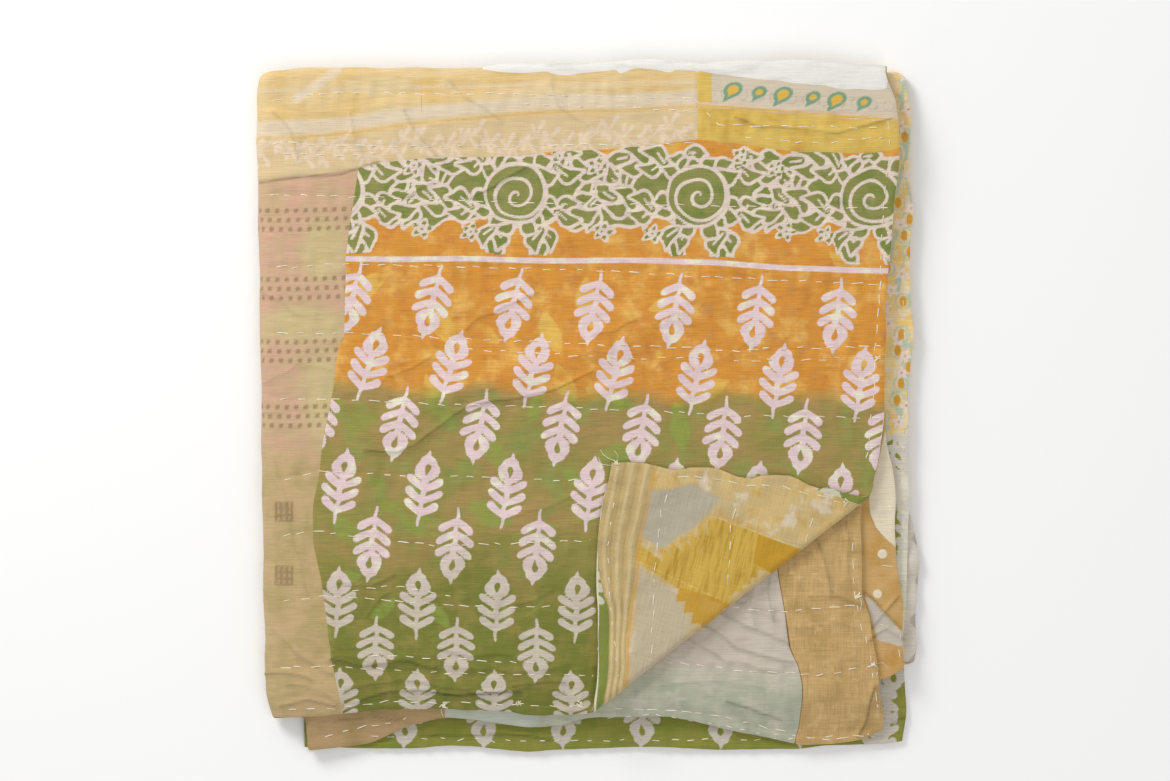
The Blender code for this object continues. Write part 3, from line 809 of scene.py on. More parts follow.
# The scrolling border on the field: a coiled medallion among curled fronds, printed again at each
# centre. Fronds are given from the medallion's centre, with angles and bends in degrees.
SCROLL_HEIGHT = 170
SCROLL_CENTRES = (-203, -57, 88, 227)
SCROLL_RADIUS = 24
COIL_PITCH = 11.0
BORDER_HALF = 26
Frond = namedtuple("Frond", "x y angle length lobe bend lobes")
FRONDS = tuple(Frond(*row) for row in (
    (-64, -4, 70, 26, 17, 80, 2),
    (56, 8, 286, 30, 18, -90, 2),
    (-12, 22, 162, 46, 19, 26, 3),
    (16, 18, 20, 50, 20, -40, 3),
    (-22, -6, 192, 48, 18, -50, 3),
    (20, -10, 346, 42, 17, 56, 3),
    (-8, -20, 216, 26, 15, 90, 2),
    (8, -20, 322, 28, 16, -90, 2),
    (-8, 20, 80, 14, 13, -80, 1),
))
SMALL_FLOWERS = ((64, 22), (-38, -30), (36, 32), (70, -28))


def paint(shapes, lines, edge, inner=FAR):
    """Prints a shape over those that are there already, so that it hides their lines."""
    lines[:] = np.where(edge < 0, np.minimum(-edge, inner), np.minimum(lines, np.abs(edge)))
    np.minimum(shapes, edge, out=shapes)


def paint_frond(shapes, lines, x, y, frond):
    """Prints a frond lobe by lobe, from its tip to its foot."""
    shares = np.linspace(0, 1, frond.lobes + 1)
    angles = np.radians(frond.angle + frond.bend * shares)
    step = frond.length / frond.lobes
    spine_x = frond.x + step * np.concatenate(([0], np.cumsum(np.cos(angles[:-1]))))
    spine_y = frond.y + step * np.concatenate(([0], np.cumsum(np.sin(angles[:-1]))))
    for place in range(frond.lobes, -1, -1):
        foot = (spine_x[place], spine_y[place])
        reach = frond.lobe * (0.7 + 0.3 * np.sin(pi * shares[place]))
        for side in (0,) if place == frond.lobes else (0.8, -0.8):
            way = angles[place] + side
            middle = (foot[0] + 0.6 * reach * np.cos(way), foot[1] + 0.6 * reach * np.sin(way))
            curl = way - side * 1.1
            tip = (middle[0] + 0.7 * reach * np.cos(curl), middle[1] + 0.7 * reach * np.sin(curl))
            lobe = np.minimum(to_stroke(x, y, foot, middle, 4.2, 6.2),
                              to_stroke(x, y, middle, tip, 6.2, 1.0))
            vein = np.abs(to_stroke(x, y, foot, middle, 0, 0)) + 0.3
            paint(shapes, lines, lobe, vein if place % 2 else FAR)


def scroll_border(x, y):
    """Distance to the border's green shapes, and to the pale lines round and inside them."""
    drift = 2.0 * noise_field(x * MM, y * MM, 18 * MM, 31)
    y = y + 0.013 * x - SCROLL_HEIGHT + drift
    x = x + 2.0 * noise_field(x * MM, y * MM, 15 * MM, 32)
    wave = 4 * np.sin(x / 11.5) + 2.5 * np.sin(x / 5.3 + 1)
    shapes = np.abs(y - 4 + 0.4 * wave) - BORDER_HALF - 0.6 * wave
    lines = np.abs(shapes)
    for centre in SCROLL_CENTRES:
        for frond in FRONDS:
            near = np.hypot(x - centre - frond.x, y - frond.y) < frond.length + 2 * frond.lobe
            local_shapes, local_lines = shapes[near], lines[near]
            paint_frond(local_shapes, local_lines, x[near] - centre, y[near], frond)
            shapes[near], lines[near] = local_shapes, local_lines
    for centre in SCROLL_CENTRES:
        for flower_x, flower_y in SMALL_FLOWERS:
            petal_x, petal_y = x - centre - flower_x, y - flower_y
            petal = np.hypot(petal_x, petal_y) - 6.2 - 2.0 * np.cos(5 * np.arctan2(petal_y, petal_x))
            paint(shapes, lines, petal, np.abs(np.hypot(petal_x, petal_y) - 2.4))
        radius = np.hypot(x - centre, y)
        turns = (radius - COIL_PITCH * np.arctan2(y, x - centre) / (2 * pi)) % COIL_PITCH
        paint(shapes, lines, radius - SCROLL_RADIUS, np.minimum(turns, COIL_PITCH - turns))
    return shapes, lines


# Materials. One function adds a node with its settings and what goes into it.


def add(tree, kind, inputs=None, **settings):
    node = tree.nodes.new(kind)
    for name, value in settings.items():
        setattr(node, name, value)
    for name, value in (inputs or {}).items():
        socket = node.inputs[name]
        if isinstance(value, bpy.types.NodeSocket):
            tree.links.new(value, socket)
        else:
            socket.default_value = value
    return node


def linear(hex_colour):
    """An sRGB hex colour as linear red, green, blue and alpha."""
    parts = [int(hex_colour[start : start + 2], 16) / 255 for start in (1, 3, 5)]
    return tuple(p / 12.92 if p <= 0.04045 else ((p + 0.055) / 1.055) ** 2.4 for p in parts) + (1.0,)


def over(tree, under, colour, mask, share=1.0):
    """One colour laid over another where a mask says so, at a share of its full strength."""
    under, colour = (linear(c) if isinstance(c, str) else c for c in (under, colour))
    if share < 1:
        mask = add(tree, "ShaderNodeMath", {0: mask, 1: share}, operation="MULTIPLY").outputs[0]
    return add(tree, "ShaderNodeMix", {0: mask, 6: under, 7: colour}, data_type="RGBA").outputs[2]


def clouds(tree, place, size_mm, low, high, shift=0.0, stretch=(1, 1), detail=3.0):
    """Uneven dye as a mask from 0 to 1, with clouds of about the given size."""
    spread = add(tree, "ShaderNodeMapping", {
        "Vector": place, "Location": (shift, shift * 0.7, 0), "Scale": (*stretch, 1)})
    noise = add(tree, "ShaderNodeTexNoise", {
        "Vector": spread.outputs[0], "Scale": 1000 / size_mm, "Detail": detail, "Roughness": 0.6})
    return add(tree, "ShaderNodeMapRange", {
        "Value": noise.outputs[0], "From Min": low, "From Max": high},
        interpolation_type="SMOOTHSTEP").outputs[0]


def printed(tree, place, attribute, soft=0.5, rough=0.5, reach=0.0):
    """A mask of 1 where an attribute's distance in mm is below reach, with a block print's edge."""
    distance = add(tree, "ShaderNodeAttribute", attribute_name=attribute).outputs["Fac"]
    noise = add(tree, "ShaderNodeTexNoise", {"Vector": place, "Scale": 700.0, "Detail": 2.0})
    rougher = add(tree, "ShaderNodeMath", {0: noise.outputs[0], 1: rough * 2, 2: -rough},
                  operation="MULTIPLY_ADD")
    edge = add(tree, "ShaderNodeMath", {0: distance, 1: rougher.outputs[0]}, operation="ADD")
    return add(tree, "ShaderNodeMapRange", {
        "Value": edge.outputs[0], "From Min": reach - soft, "From Max": reach + soft, "To Min": 1.0,
        "To Max": 0.0}, interpolation_type="SMOOTHSTEP").outputs[0]


# Coats of colour on a cloth: clouds of dye, prints with the softness and the roughness of their
# edges in mm, and washes that an attribute from 0 to 1 brings in
Dye = namedtuple("Dye", "colour size low high share shift stretch detail",
                 defaults=(1.0, 0.0, (1, 1), 3.0))
Print = namedtuple("Print", "colour attribute soft rough share reach",
                   defaults=(0.5, 0.5, 1.0, 0.0))
Wash = namedtuple("Wash", "colour attribute share", defaults=(1.0,))
Cloth = namedtuple("Cloth", "material tree place")


def coated(cloth, ground, *coats):
    """A ground colour with coats laid over it, one after another."""
    tree, place = cloth.tree, cloth.place
    for coat in coats:
        if isinstance(coat, Dye):
            mask = clouds(tree, place, coat.size, coat.low, coat.high, coat.shift, coat.stretch,
                          coat.detail)
        elif isinstance(coat, Print):
            mask = printed(tree, place, coat.attribute, coat.soft, coat.rough, coat.reach)
        else:
            mask = add(tree, "ShaderNodeAttribute", attribute_name=coat.attribute).outputs["Fac"]
        ground = over(tree, ground, coat.colour, mask, coat.share)
    return ground


def new_cloth(name):
    material = bpy.data.materials.new(name)
    material.use_nodes = True
    tree = material.node_tree
    return Cloth(material, tree, add(tree, "ShaderNodeUVMap", uv_map="flat_cloth").outputs[0])


def finish_cloth(cloth, colour, slub=0.16, weave=0.35, check=0.0):
    """Plain-woven cotton over a colour: slubs along the weft, a finer warp, and matt fibres.
    Threads are drawn about 1 mm apart, twice as coarse as real voile, so that they show."""
    tree = cloth.tree
    weft, warp = (add(tree, "ShaderNodeTexNoise", {
        "Vector": add(tree, "ShaderNodeMapping", {"Vector": cloth.place, "Scale": scale}).outputs[0],
        "Scale": 1.0, "Detail": 2.0, "Roughness": 0.55}) for scale in (WEFT_SCALE, WARP_SCALE))
    threads = add(tree, "ShaderNodeMath", {0: weft.outputs[0], 1: 0.8 - 0.3 * check},
                  operation="MULTIPLY")
    threads = add(tree, "ShaderNodeMath", {
        0: warp.outputs[0], 1: 0.2 + 0.3 * check, 2: threads.outputs[0]}, operation="MULTIPLY_ADD")
    shade = add(tree, "ShaderNodeMapRange", {
        "Value": threads.outputs[0], "From Min": 0.3, "From Max": 0.7, "To Min": 1 - slub,
        "To Max": 1 + slub * 0.6})
    # Painted shade: the colour is darkened along the lines of the fine creases
    creased = add(tree, "ShaderNodeAttribute", attribute_name="shade").outputs["Fac"]
    painted_crease_shade = add(tree, "ShaderNodeMath", {0: creased, 1: -CREASE_DARKNESS, 2: 1.0},
               operation="MULTIPLY_ADD")
    shade = add(tree, "ShaderNodeMath", {0: shade.outputs[0], 1: painted_crease_shade.outputs[0]},
                operation="MULTIPLY")
    shaded = add(tree, "ShaderNodeVectorMath", {0: colour, 1: shade.outputs[0]},
                 operation="MULTIPLY")
    bump = add(tree, "ShaderNodeBump", {
        "Height": threads.outputs[0], "Strength": weave, "Distance": THREAD_DEPTH})
    shader = tree.nodes["Principled BSDF"]
    tree.links.new(shaded.outputs[0], shader.inputs["Base Color"])
    tree.links.new(bump.outputs[0], shader.inputs["Normal"])
    for name, value in (("Roughness", 0.93), ("Specular IOR Level", 0.15), ("Sheen Weight", 0.12),
                        ("Sheen Roughness", 0.6)):
        shader.inputs[name].default_value = value
    return cloth.material


def colours():
    return bpy.context.scene.sari_quilt_colours


def sizes():
    return bpy.context.scene.sari_quilt_sizes


def field_material():
    """Block-printed cotton, dip-dyed from orange to olive, so its colours run into each other."""
    dye = colours()
    cloth = new_cloth("dip_dyed_block_printed_cotton")
    tree, place = cloth.tree, cloth.place
    ghost = printed(tree, place, "ghost", soft=1.2, rough=1.6)
    broken = clouds(tree, place, 40, 0.36, 0.56, shift=12)
    ghost = add(tree, "ShaderNodeMath", {0: ghost, 1: broken}, operation="MULTIPLY").outputs[0]
    orange = coated(
        cloth, tuple(dye.orange), Dye("#E6B45E", 24, 0.46, 0.7),
        Dye("#CB8338", 16, 0.5, 0.72, 0.7, 3), Dye("#BC7A38", 26, 0.52, 0.74, 0.5, 17),
        Dye("#C58F62", 11, 0.54, 0.72, 0.5, 13))
    orange = over(tree, orange, "#E3BC5C", ghost, 0.7)
    low = coated(cloth, "#70782F", Dye("#8D8442", 22, 0.42, 0.68, shift=9))
    olive = coated(
        cloth, tuple(dye.olive), Dye("#A68C54", 34, 0.42, 0.6, shift=5),
        Dye("#8B9650", 26, 0.5, 0.66, 0.7, 8), Wash(low, "low_green"))
    olive = over(tree, olive, "#8C9F48", ghost, 0.7)
    green = coated(cloth, "#8B8C4E", Dye("#7B8640", 20, 0.45, 0.62, shift=2),
                   Dye("#A39A74", 9, 0.55, 0.75, 0.5, 4))
    pink = coated(cloth, tuple(dye.leaf_pink), Dye("#E8E3CC", 14, 0.5, 0.66, shift=6),
                  Dye("#D9B7A8", 8, 0.6, 0.75, 0.5, 7), Wash("#C5BBA7", "low_green"))
    border = coated(cloth, "#E0CCC0", Dye("#E2D4C0", 12, 0.45, 0.6, shift=7))
    ground = coated(cloth, orange, Wash(olive, "dip"), Print(green, "scroll", 0.6, 0.8),
                    Print(border, "scroll_line", reach=1.3), Print(pink, "leaf"))
    return finish_cloth(cloth, ground, slub=0.2)


def pale_strip_material():
    """Washed-out printed voile, its stripes and vine nearly faded into the yellow."""
    cloth = new_cloth("faded_yellow_voile")
    return finish_cloth(cloth, coated(
        cloth, tuple(colours().pale_yellow), Dye("#D8B674", 30, 0.42, 0.68),
        Dye("#E6D3AE", 26, 0.5, 0.7, 0.7, 3, (0.3, 1.6)), Wash("#D9C197", "vine_ground"),
        Print("#E4C489", "bands", 1.0, 0.8, 0.6), Print("#DDCCB2", "cream", 2.0, 2.0, 0.85),
        Print("#E8D3C2", "vine", 0.9, 1.4, 0.62), Print("#D2A55E", "orange_line", 1.2, 1.6, 0.6),
        Print("#A98B5C", "seam", 0.4, 0.2, 0.7)))


def squares_material():
    """Rose-beige voile with small printed squares, over a tan cloth that shows through."""
    cloth = new_cloth("rose_beige_voile")
    tan = coated(cloth, "#C4A87C", Dye("#B3A06C", 26, 0.38, 0.66, shift=8))
    return finish_cloth(cloth, coated(
        cloth, "#CEA68B", Dye("#C6AA84", 22, 0.35, 0.65), Print("#C9BD86", "moss", 9, 4, 0.7),
        Wash(tan, "tan"), Print("#94795A", "squares", 0.8, 0.8, 0.75)), slub=0.14)


def mustard_material():
    """Mustard cotton with a printed border of small curled drops on grey-beige."""
    cloth = new_cloth("mustard_bordered_cotton")
    return finish_cloth(cloth, coated(
        cloth, tuple(colours().mustard), Dye("#CBA244", 30, 0.45, 0.75),
        Print("#D2C4AC", "border", 0.6), Print("#A99C84", "rings", 0.5, 0.6, 0.6),
        Print("#7A9E82", "drops", 0.7, 0.9), Print("#DDB24E", "drops", 0.6, 0.6, reach=-2.2),
        Print("#DDC0A6", "lines", 0.4, 0.3)))


def white_material():
    """Unbleached muslin, almost white, with long grey slubs."""
    cloth = new_cloth("off_white_muslin")
    slubs = Dye("#D5D3CB", 14, 0.45, 0.8, stretch=(0.4, 1.6))
    return finish_cloth(cloth, coated(cloth, "#E9E6DF", slubs), slub=0.1)


def flap_material():
    """The quilt's other side: a stepped ikat print whose dyes bled into beige cotton."""
    cloth = new_cloth("ikat_printed_cotton")
    gold = coated(cloth, "#CEAA4E", Dye("#B18C30", 9, 0.45, 0.65, 0.8, stretch=(0.3, 2.4)))
    # The hem's band is painted paler along the tops of its three ridges, a painted highlight, and darker
    # in the valleys between them, painted shade
    band = coated(
        cloth, "#C3AA75", Dye("#B29C6B", 16, 0.42, 0.7, shift=2),
        Print("#DBC596", "ridge", 1.4, 0.4, 0.7), Print("#A68C57", "painted_valley_shade", 0.8, 0.3, 0.6))
    lip = coated(cloth, "#7F8A3E", Print("#C9C6AE", "lip_leaves"))
    return finish_cloth(cloth, coated(
        cloth, "#D2B67C", Dye("#C3AE80", 30, 0.4, 0.7), Dye("#DCCDB6", 24, 0.55, 0.66, 0.85, 4),
        Dye("#C4A255", 17, 0.48, 0.68, 0.75, 6), Print("#C0B294", "low_grey", 5, 2),
        Print("#B5AC96", "grey", 1.4, 1.6), Print(gold, "mustard", 0.7, 1.2),
        Print("#C2942A", "ochre", 0.8, 1.0, 0.9), Print("#DFCFA2", "pale_line", share=0.8),
        Print(band, "band", 0.4, 0.2), Print("#D0993F", "orange_line", 0.8, share=0.6),
        Print(lip, "lip", 0.3, 0.3), Print("#DDD5BA", "free_edge", 0.4, 0.4)),
        slub=0.18, check=0.6)


def lilac_material():
    """Lilac-grey cotton that turns sea green, with pale washed-out flowers."""
    cloth = new_cloth("lilac_and_sea_green_cotton")
    sea = coated(cloth, "#B9B9A4", Dye("#AAAE97", 18, 0.4, 0.7, shift=3))
    return finish_cloth(cloth, coated(
        cloth, "#CBC0B0", Dye("#C1B5A6", 30, 0.4, 0.7), Wash(sea, "sea_green"),
        Print("#CEC5B4", "flowers", 2.4, 3.0, 0.42)))


def gauze_material():
    """Crinkled tan gauze: thick and thin threads both ways, with gaps between them."""
    cloth = new_cloth("tan_crinkle_gauze")
    return finish_cloth(cloth, coated(
        cloth, "#CAA871", Dye("#B99962", 24, 0.4, 0.7), Dye("#D9BA84", 10, 0.52, 0.7, 0.6, 7),
        Dye("#A9834D", 7, 0.52, 0.74, 0.42, 0, (0.16, 2.6), 4),
        Dye("#A9834D", 7, 0.52, 0.74, 0.42, 5, (2.4, 0.2), 4),
        Print("#75572F", "seam", 0.4, 0.3, 0.85)), slub=0.26, check=1.0, weave=0.6)


def plain_material(name, colour, darker):
    """Plain cotton, faded unevenly."""
    cloth = new_cloth(name)
    return finish_cloth(cloth, coated(cloth, colour, Dye(darker, 28, 0.4, 0.72)), slub=0.14)


def third_layer_material():
    """Tan cotton with a cream leaf shape and dots, pieced with grey-lilac."""
    cloth = new_cloth("tan_leaf_printed_cotton")
    return finish_cloth(cloth, coated(
        cloth, "#CBA56A", Dye("#C09350", 24, 0.4, 0.7), Print("#E4D8BC", "cream", 0.5, 0.3),
        Print("#B9A98C", "cream_edge", 0.4, 0.2, 0.8), Print("#C6BCAC", "lilac", 0.5, 0.3)),
        slub=0.14)


def floral_material():
    """Fine cotton printed all over with small flowers, sage twigs and buds on yellow."""
    cloth = new_cloth("floral_printed_cotton")
    return finish_cloth(cloth, coated(
        cloth, "#F2CC78", Dye("#F2E0AC", 20, 0.4, 0.65), Dye("#EBDAC4", 9, 0.45, 0.6, 0.7, 5),
        Print("#BECBB2", "sage", 0.7, 0.8), Print("#EFDCD0", "petals", 0.7, 0.8),
        Print("#D9A13C", "buds", 0.7, 0.6)), slub=0.14)


def leaf_strip_material(name, ground, darker, leaf_colour, *coats):
    """The same block-printed leaves on another length of cotton."""
    cloth = new_cloth(name)
    return finish_cloth(cloth, coated(
        cloth, ground, Dye(darker, 24, 0.42, 0.7), *coats, Print(leaf_colour, "leaf")), slub=0.18)


BASE_COLOURS = ("#8A8C42", "#C3B8AB", "#C3B8AB", "#D9B45C", "#D2B26A", "#C9A468", "#C9B493", "#D3B883")


def base_material():
    """The layered cloth itself where no patch covers it: washed cotton, each layer its own sari."""
    cloth = new_cloth("layered_sari_cotton")
    share = add(cloth.tree, "ShaderNodeAttribute", attribute_name="layer_share").outputs["Fac"]
    ramp = add(cloth.tree, "ShaderNodeValToRGB", {"Fac": share})
    elements = ramp.color_ramp.elements
    ramp.color_ramp.interpolation = "CONSTANT"
    while len(elements) < len(BASE_COLOURS):
        elements.new(0.99)
    for number, colour in enumerate(BASE_COLOURS):
        elements[number].position = number / len(BASE_COLOURS)
        elements[number].color = linear(colour)
    fade = Dye("#C8B58A", 30, 0.45, 0.75, 0.4)
    return finish_cloth(cloth, coated(cloth, ramp.outputs[0], fade))


def thread_material():
    """Soft two-ply cotton thread, undyed."""
    material = bpy.data.materials.new("undyed_cotton_thread")
    material.use_nodes = True
    tree = material.node_tree
    place = add(tree, "ShaderNodeTexCoord").outputs["Object"]
    colour = over(tree, tuple(colours().thread), "#DDD0B4", clouds(tree, place, 9, 0.35, 0.7))
    shader = tree.nodes["Principled BSDF"]
    tree.links.new(colour, shader.inputs["Base Color"])
    shader.inputs["Roughness"].default_value = 0.85
    shader.inputs["Specular IOR Level"].default_value = 0.2
    return material


# Outlines of the patches, mm: left and right edges pair height with distance across, bottom and
# top edges pair distance across with height

FIELD_LEFT = ((-250, -196), (-222, -202), (-200, -207), (-161, -212), (-138, -215), (-122, -219),
              (-106, -222), (-84, -222), (-58, -218), (-30, -214), (16, -206), (50, -201), (56, -197),
              (88, -196), (115, -196), (140, -193), (190, -186), (200, -185))
FIELD_TOP = ((-190, 190), (-168, 195), (-126, 199), (-71, 201), (2, 206), (60, 210), (86, 214),
             (118, 211), (154, 206), (208, 203), (250, 206))
STRIP_BOTTOM = ((-282, 181), (-262, 182), (-225, 185)) + FIELD_TOP[:7]
WHITE_BOTTOM = ((-86, 270), (-59, 268), (-36, 268), (-26, 265), (-17, 265), (-10, 267), (2, 268),
                (19, 270), (26, 267), (36, 271), (49, 270), (63, 267), (70, 269), (90, 268), (101, 267),
                (133, 262), (149, 261), (186, 256), (201, 253), (238, 254))
TOP_WRAP = 283
LEFT_WRAP = -282


def shifted(table, by):
    """An edge moved by some mm, to the right or up the quilt."""
    return tuple((along, value + by) for along, value in table)


def constant(value):
    """A straight edge, in mm."""
    return ((-400, value), (0, value), (400, value))


class QuiltSizes(bpy.types.PropertyGroup):
    """Sizes of the sewing, which a maker would change."""
    patch_rise: bpy.props.FloatProperty(
        name="Patch rise", description="Height of a patch over the middle of its layer",
        default=0.95 * MM, unit="LENGTH")
    overlap_rise: bpy.props.FloatProperty(
        name="Overlap", description="How far a patch stands over the one beneath it",
        default=0.3 * MM, unit="LENGTH")
    stitch_length: bpy.props.FloatProperty(
        name="Stitch", description="Length of thread that shows in one running stitch",
        default=7.4 * MM, unit="LENGTH")
    stitch_gap: bpy.props.FloatProperty(
        name="Gap", description="Cloth between two running stitches", default=6.0 * MM, unit="LENGTH")
    thread_width: bpy.props.FloatProperty(
        name="Thread", description="Width of the flattened thread", default=0.8 * MM, unit="LENGTH")


COLOUR = {"subtype": "COLOR", "size": 4, "min": 0, "max": 1}


class QuiltColours(bpy.types.PropertyGroup):
    """The main dyes."""
    orange: bpy.props.FloatVectorProperty(
        name="Orange", description="Upper part of the printed field", default=linear("#D6933B"),
        **COLOUR)
    olive: bpy.props.FloatVectorProperty(
        name="Olive", description="Lower part of the printed field", default=linear("#968C49"),
        **COLOUR)
    leaf_pink: bpy.props.FloatVectorProperty(
        name="Leaf pink", description="Printed leaves", default=linear("#E3CACB"),
        **COLOUR)
    pale_yellow: bpy.props.FloatVectorProperty(
        name="Pale yellow", description="Faded strip along the top", default=linear("#DBC18D"),
        **COLOUR)
    mustard: bpy.props.FloatVectorProperty(
        name="Mustard", description="Bordered patch at the top right", default=linear("#DBBA60"),
        **COLOUR)
    thread: bpy.props.FloatVectorProperty(
        name="Thread", description="Running stitches", default=linear("#F2EAD8"),
        **COLOUR)


def cut_turned_corner(bm):
    """Cuts the top layer along lines beside the turned corner's fold, so that it rolls evenly."""
    outwards = turn_directions()[2].to_3d()
    top = layer_height(7)
    for cut in range(TURN_CUTS + 1):
        faces = [face for face in bm.faces
                 if all(abs(vert.co.z - top) < LAYER_PITCH / 10 for vert in face.verts)]
        edges = {edge for face in faces for edge in face.edges}
        verts = {vert for face in faces for vert in face.verts}
        origin = TURN_RIGHT.to_3d() + outwards * TURN_ARC * cut / TURN_CUTS
        bmesh.ops.bisect_plane(bm, geom=[*verts, *edges, *faces], dist=CUT_SNAP,
                               plane_co=origin, plane_no=outwards)


class SARI_OT_folded_cloth(bpy.types.Operator):
    """Adds the one folded cloth that carries the patches"""
    bl_idname = "sari.folded_cloth"
    bl_label = "Folded cloth"

    def execute(self, context):
        along = np.concatenate([index + np.arange(stretch.rows) / stretch.rows
                                for index, stretch in enumerate(STRETCHES)] + [[len(STRETCHES)]])
        around = np.concatenate((np.linspace(0, 1, UPPER_COLUMNS + 1),
                                 np.linspace(1, 2, FOLD_COLUMNS + 1)[1:],
                                 np.linspace(2, 3, LOWER_COLUMNS + 1)[1:]))
        bm = bmesh.new()
        bmesh.ops.create_grid(bm, x_segments=len(around) - 1, y_segments=len(along) - 1, size=0.5,
                              calc_uvs=False)
        place = bm.loops.layers.uv.new("flat_cloth")
        share = bm.verts.layers.float.new("layer_share")
        points = np.array([vert.co[:] for vert in bm.verts])
        for face in bm.faces:
            for loop in face.loops:
                loop[place].uv = (loop.vert.co.x, 2 * loop.vert.co.y)
        column = np.rint((points[:, 0] + 0.5) * (len(around) - 1)).astype(int)
        row = np.rint((points[:, 1] + 0.5) * (len(along) - 1)).astype(int)
        folded = np.column_stack(folded_positions(along[row], around[column]))
        for vert, point in zip(bm.verts, folded):
            vert.co = point
            vert[share] = (point[2] / LAYER_PITCH + 0.3) / LAYERS
        cut_turned_corner(bm)
        x, up, height = np.array([vert.co[:] for vert in bm.verts]).T
        on_top = np.abs(height - layer_height(7)) < LAYER_PITCH / 10
        turned_x, turned_up, lift = turn_back(x, up)
        x = np.where(on_top, turned_x, x)
        up = np.where(on_top, turned_up, up)
        resting = height < layer_height(0) + LAYER_PITCH / 10
        height = settled(x, up, height) + np.where(on_top, lift, 0.0)
        height -= np.where(resting, 0.0, BASE_SINK)
        height = np.maximum(height, BASE_THICKNESS / 2 + FLOOR_GAP)
        for vert, point in zip(bm.verts, np.column_stack((x, up, height))):
            vert.co = point
        bmesh.ops.recalc_face_normals(bm, faces=bm.faces)
        mesh = bpy.data.meshes.new("folded_cloth")
        bm.to_mesh(mesh)
        bm.free()
        mesh.shade_smooth()
        mesh.materials.append(base_material())
        cloth = new_object("folded_cloth", mesh)
        thickness = cloth.modifiers.new("cloth_thickness", "SOLIDIFY")
        thickness.thickness = BASE_THICKNESS
        thickness.offset = 0.0
        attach(cloth, "root")
        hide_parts("folded_quilt")
        return {"FINISHED"}


# The pale line under the border, which steps down where the cloth puckers
BORDER_LINE = ((-250, 119), (-190, 119.5), (-115, 119), (-4, 118), (96, 117), (132, 114), (160, 111.5),
               (250, 110))
BORDER_LINE_HALF_WIDTH = 2.2
BORDER_LINE_REACH = 4


class SARI_OT_printed_field(bpy.types.Operator):
    """Adds the large block-printed panel of the top layer"""
    bl_idname = "sari.printed_field"
    bl_label = "Printed field"

    def execute(self, context):
        top = shifted(FIELD_TOP, 3)
        grid = outline_grid(FIELD_LEFT, RIGHT_HEMS[7], BOTTOM_EDGES[7], top, FINE_STEP)
        x, up = in_mm(grid)
        uneven = 14 * noise_field(*grid, 40 * MM, 11) + 6 * noise_field(*grid, 14 * MM, 12)
        scroll, lines = scroll_border(x, up)
        line_up = curve_through(BORDER_LINE, grid[0]) / MM + 0.5 * np.sin(x / 21)
        white_line = np.abs(up - line_up) - BORDER_LINE_HALF_WIDTH
        prints = {
            "dip": smooth_step((18 - 0.027 * x - up + uneven * 0.5) / 16),
            "low_green": smooth_step((-96 - up + uneven) / 60) * 0.85,
            "leaf": np.minimum(leaf_field(x, up, FIELD_LEAVES), white_line),
            "scroll": np.where(up < line_up + BORDER_LINE_REACH, FAR, scroll),
            "scroll_line": np.where(up < line_up + BORDER_LINE_REACH, FAR, lines),
            "ghost": old_blades(x, up),
        }
        lay_patch("printed_field", 7, grid, sizes().patch_rise, prints, field_material(),
                  TOP_ROWS + (TOP_HEM_ROW,), hems="rb")
        return {"FINISHED"}


# Blades of an earlier print that show through: foot, direction, length, width and bend
Blade = namedtuple("Blade", "x y angle length width bend")
OLD_BLADES = tuple(Blade(*row) for row in (
    (-130, 28, -74, 50, 15, 0.004),
    (-84, -24, -62, 34, 18, 0.006),
    (-48, -12, 58, 30, 12, 0.004),
    (-96, -72, -40, 42, 22, 0.004),
    (80, 4, 38, 38, 16, -0.004),
    (-199, 8, -76, 40, 20, 0.0),
    (-176, -52, -60, 46, 20, 0.004),
    (150, 0, 60, 34, 16, 0.004),
))
OLD_BLADE_COUNT = 54


def old_blades(x, up):
    """Distance to the nearest blade of the earlier print, those named above and others set out
    at random from one seed."""
    draw = np.random.default_rng(14)
    blades = list(OLD_BLADES)
    for _ in range(OLD_BLADE_COUNT):
        foot_x, foot_y = draw.uniform(-210, 235), draw.uniform(-235, 200)
        length = draw.uniform(22, 44)
        blades.append(Blade(foot_x, foot_y, draw.uniform(0, 360), length, length * 0.42, 0.006))
    nearest = np.full(x.shape, FAR)
    for blade in blades:
        local_x, local_y = turned(x - blade.x, up - blade.y, blade.angle)
        share = np.clip(local_x / blade.length, 0, 1)
        half = blade.width / 2 * np.sin(pi * share)
        beyond = np.maximum(np.maximum(-local_x, local_x - blade.length), 0)
        nearest = np.minimum(nearest, np.abs(local_y - blade.bend * local_x**2) - half + beyond)
    return nearest


def squares_print(x, up):
    """Bands of three rows of small squares, and two small block motifs lower down."""
    squares = np.full(x.shape, FAR)
    for band in (151, 96, 46, -6):
        for row in (-7.4, 0, 7.4):
            away_up = np.abs(up - band - row - 0.8 * np.sin(x / 17)) - 1.9
            away_x = np.abs((x + row * 0.2) % 7.6 - 3.8) - 1.8
            squares = np.minimum(squares, np.maximum(away_up, away_x))
    for block in (-83, -134):
        in_block = np.maximum(np.abs(x + 243) - 7.5, np.abs(up - block) - 8)
        bars = np.minimum(np.abs((x + 243) % 4.4 - 2.2) - 1.4,
                          np.abs((up - block) % 5.2 - 2.6) - 1.1)
        squares = np.minimum(squares, np.maximum(in_block, bars))
    return squares


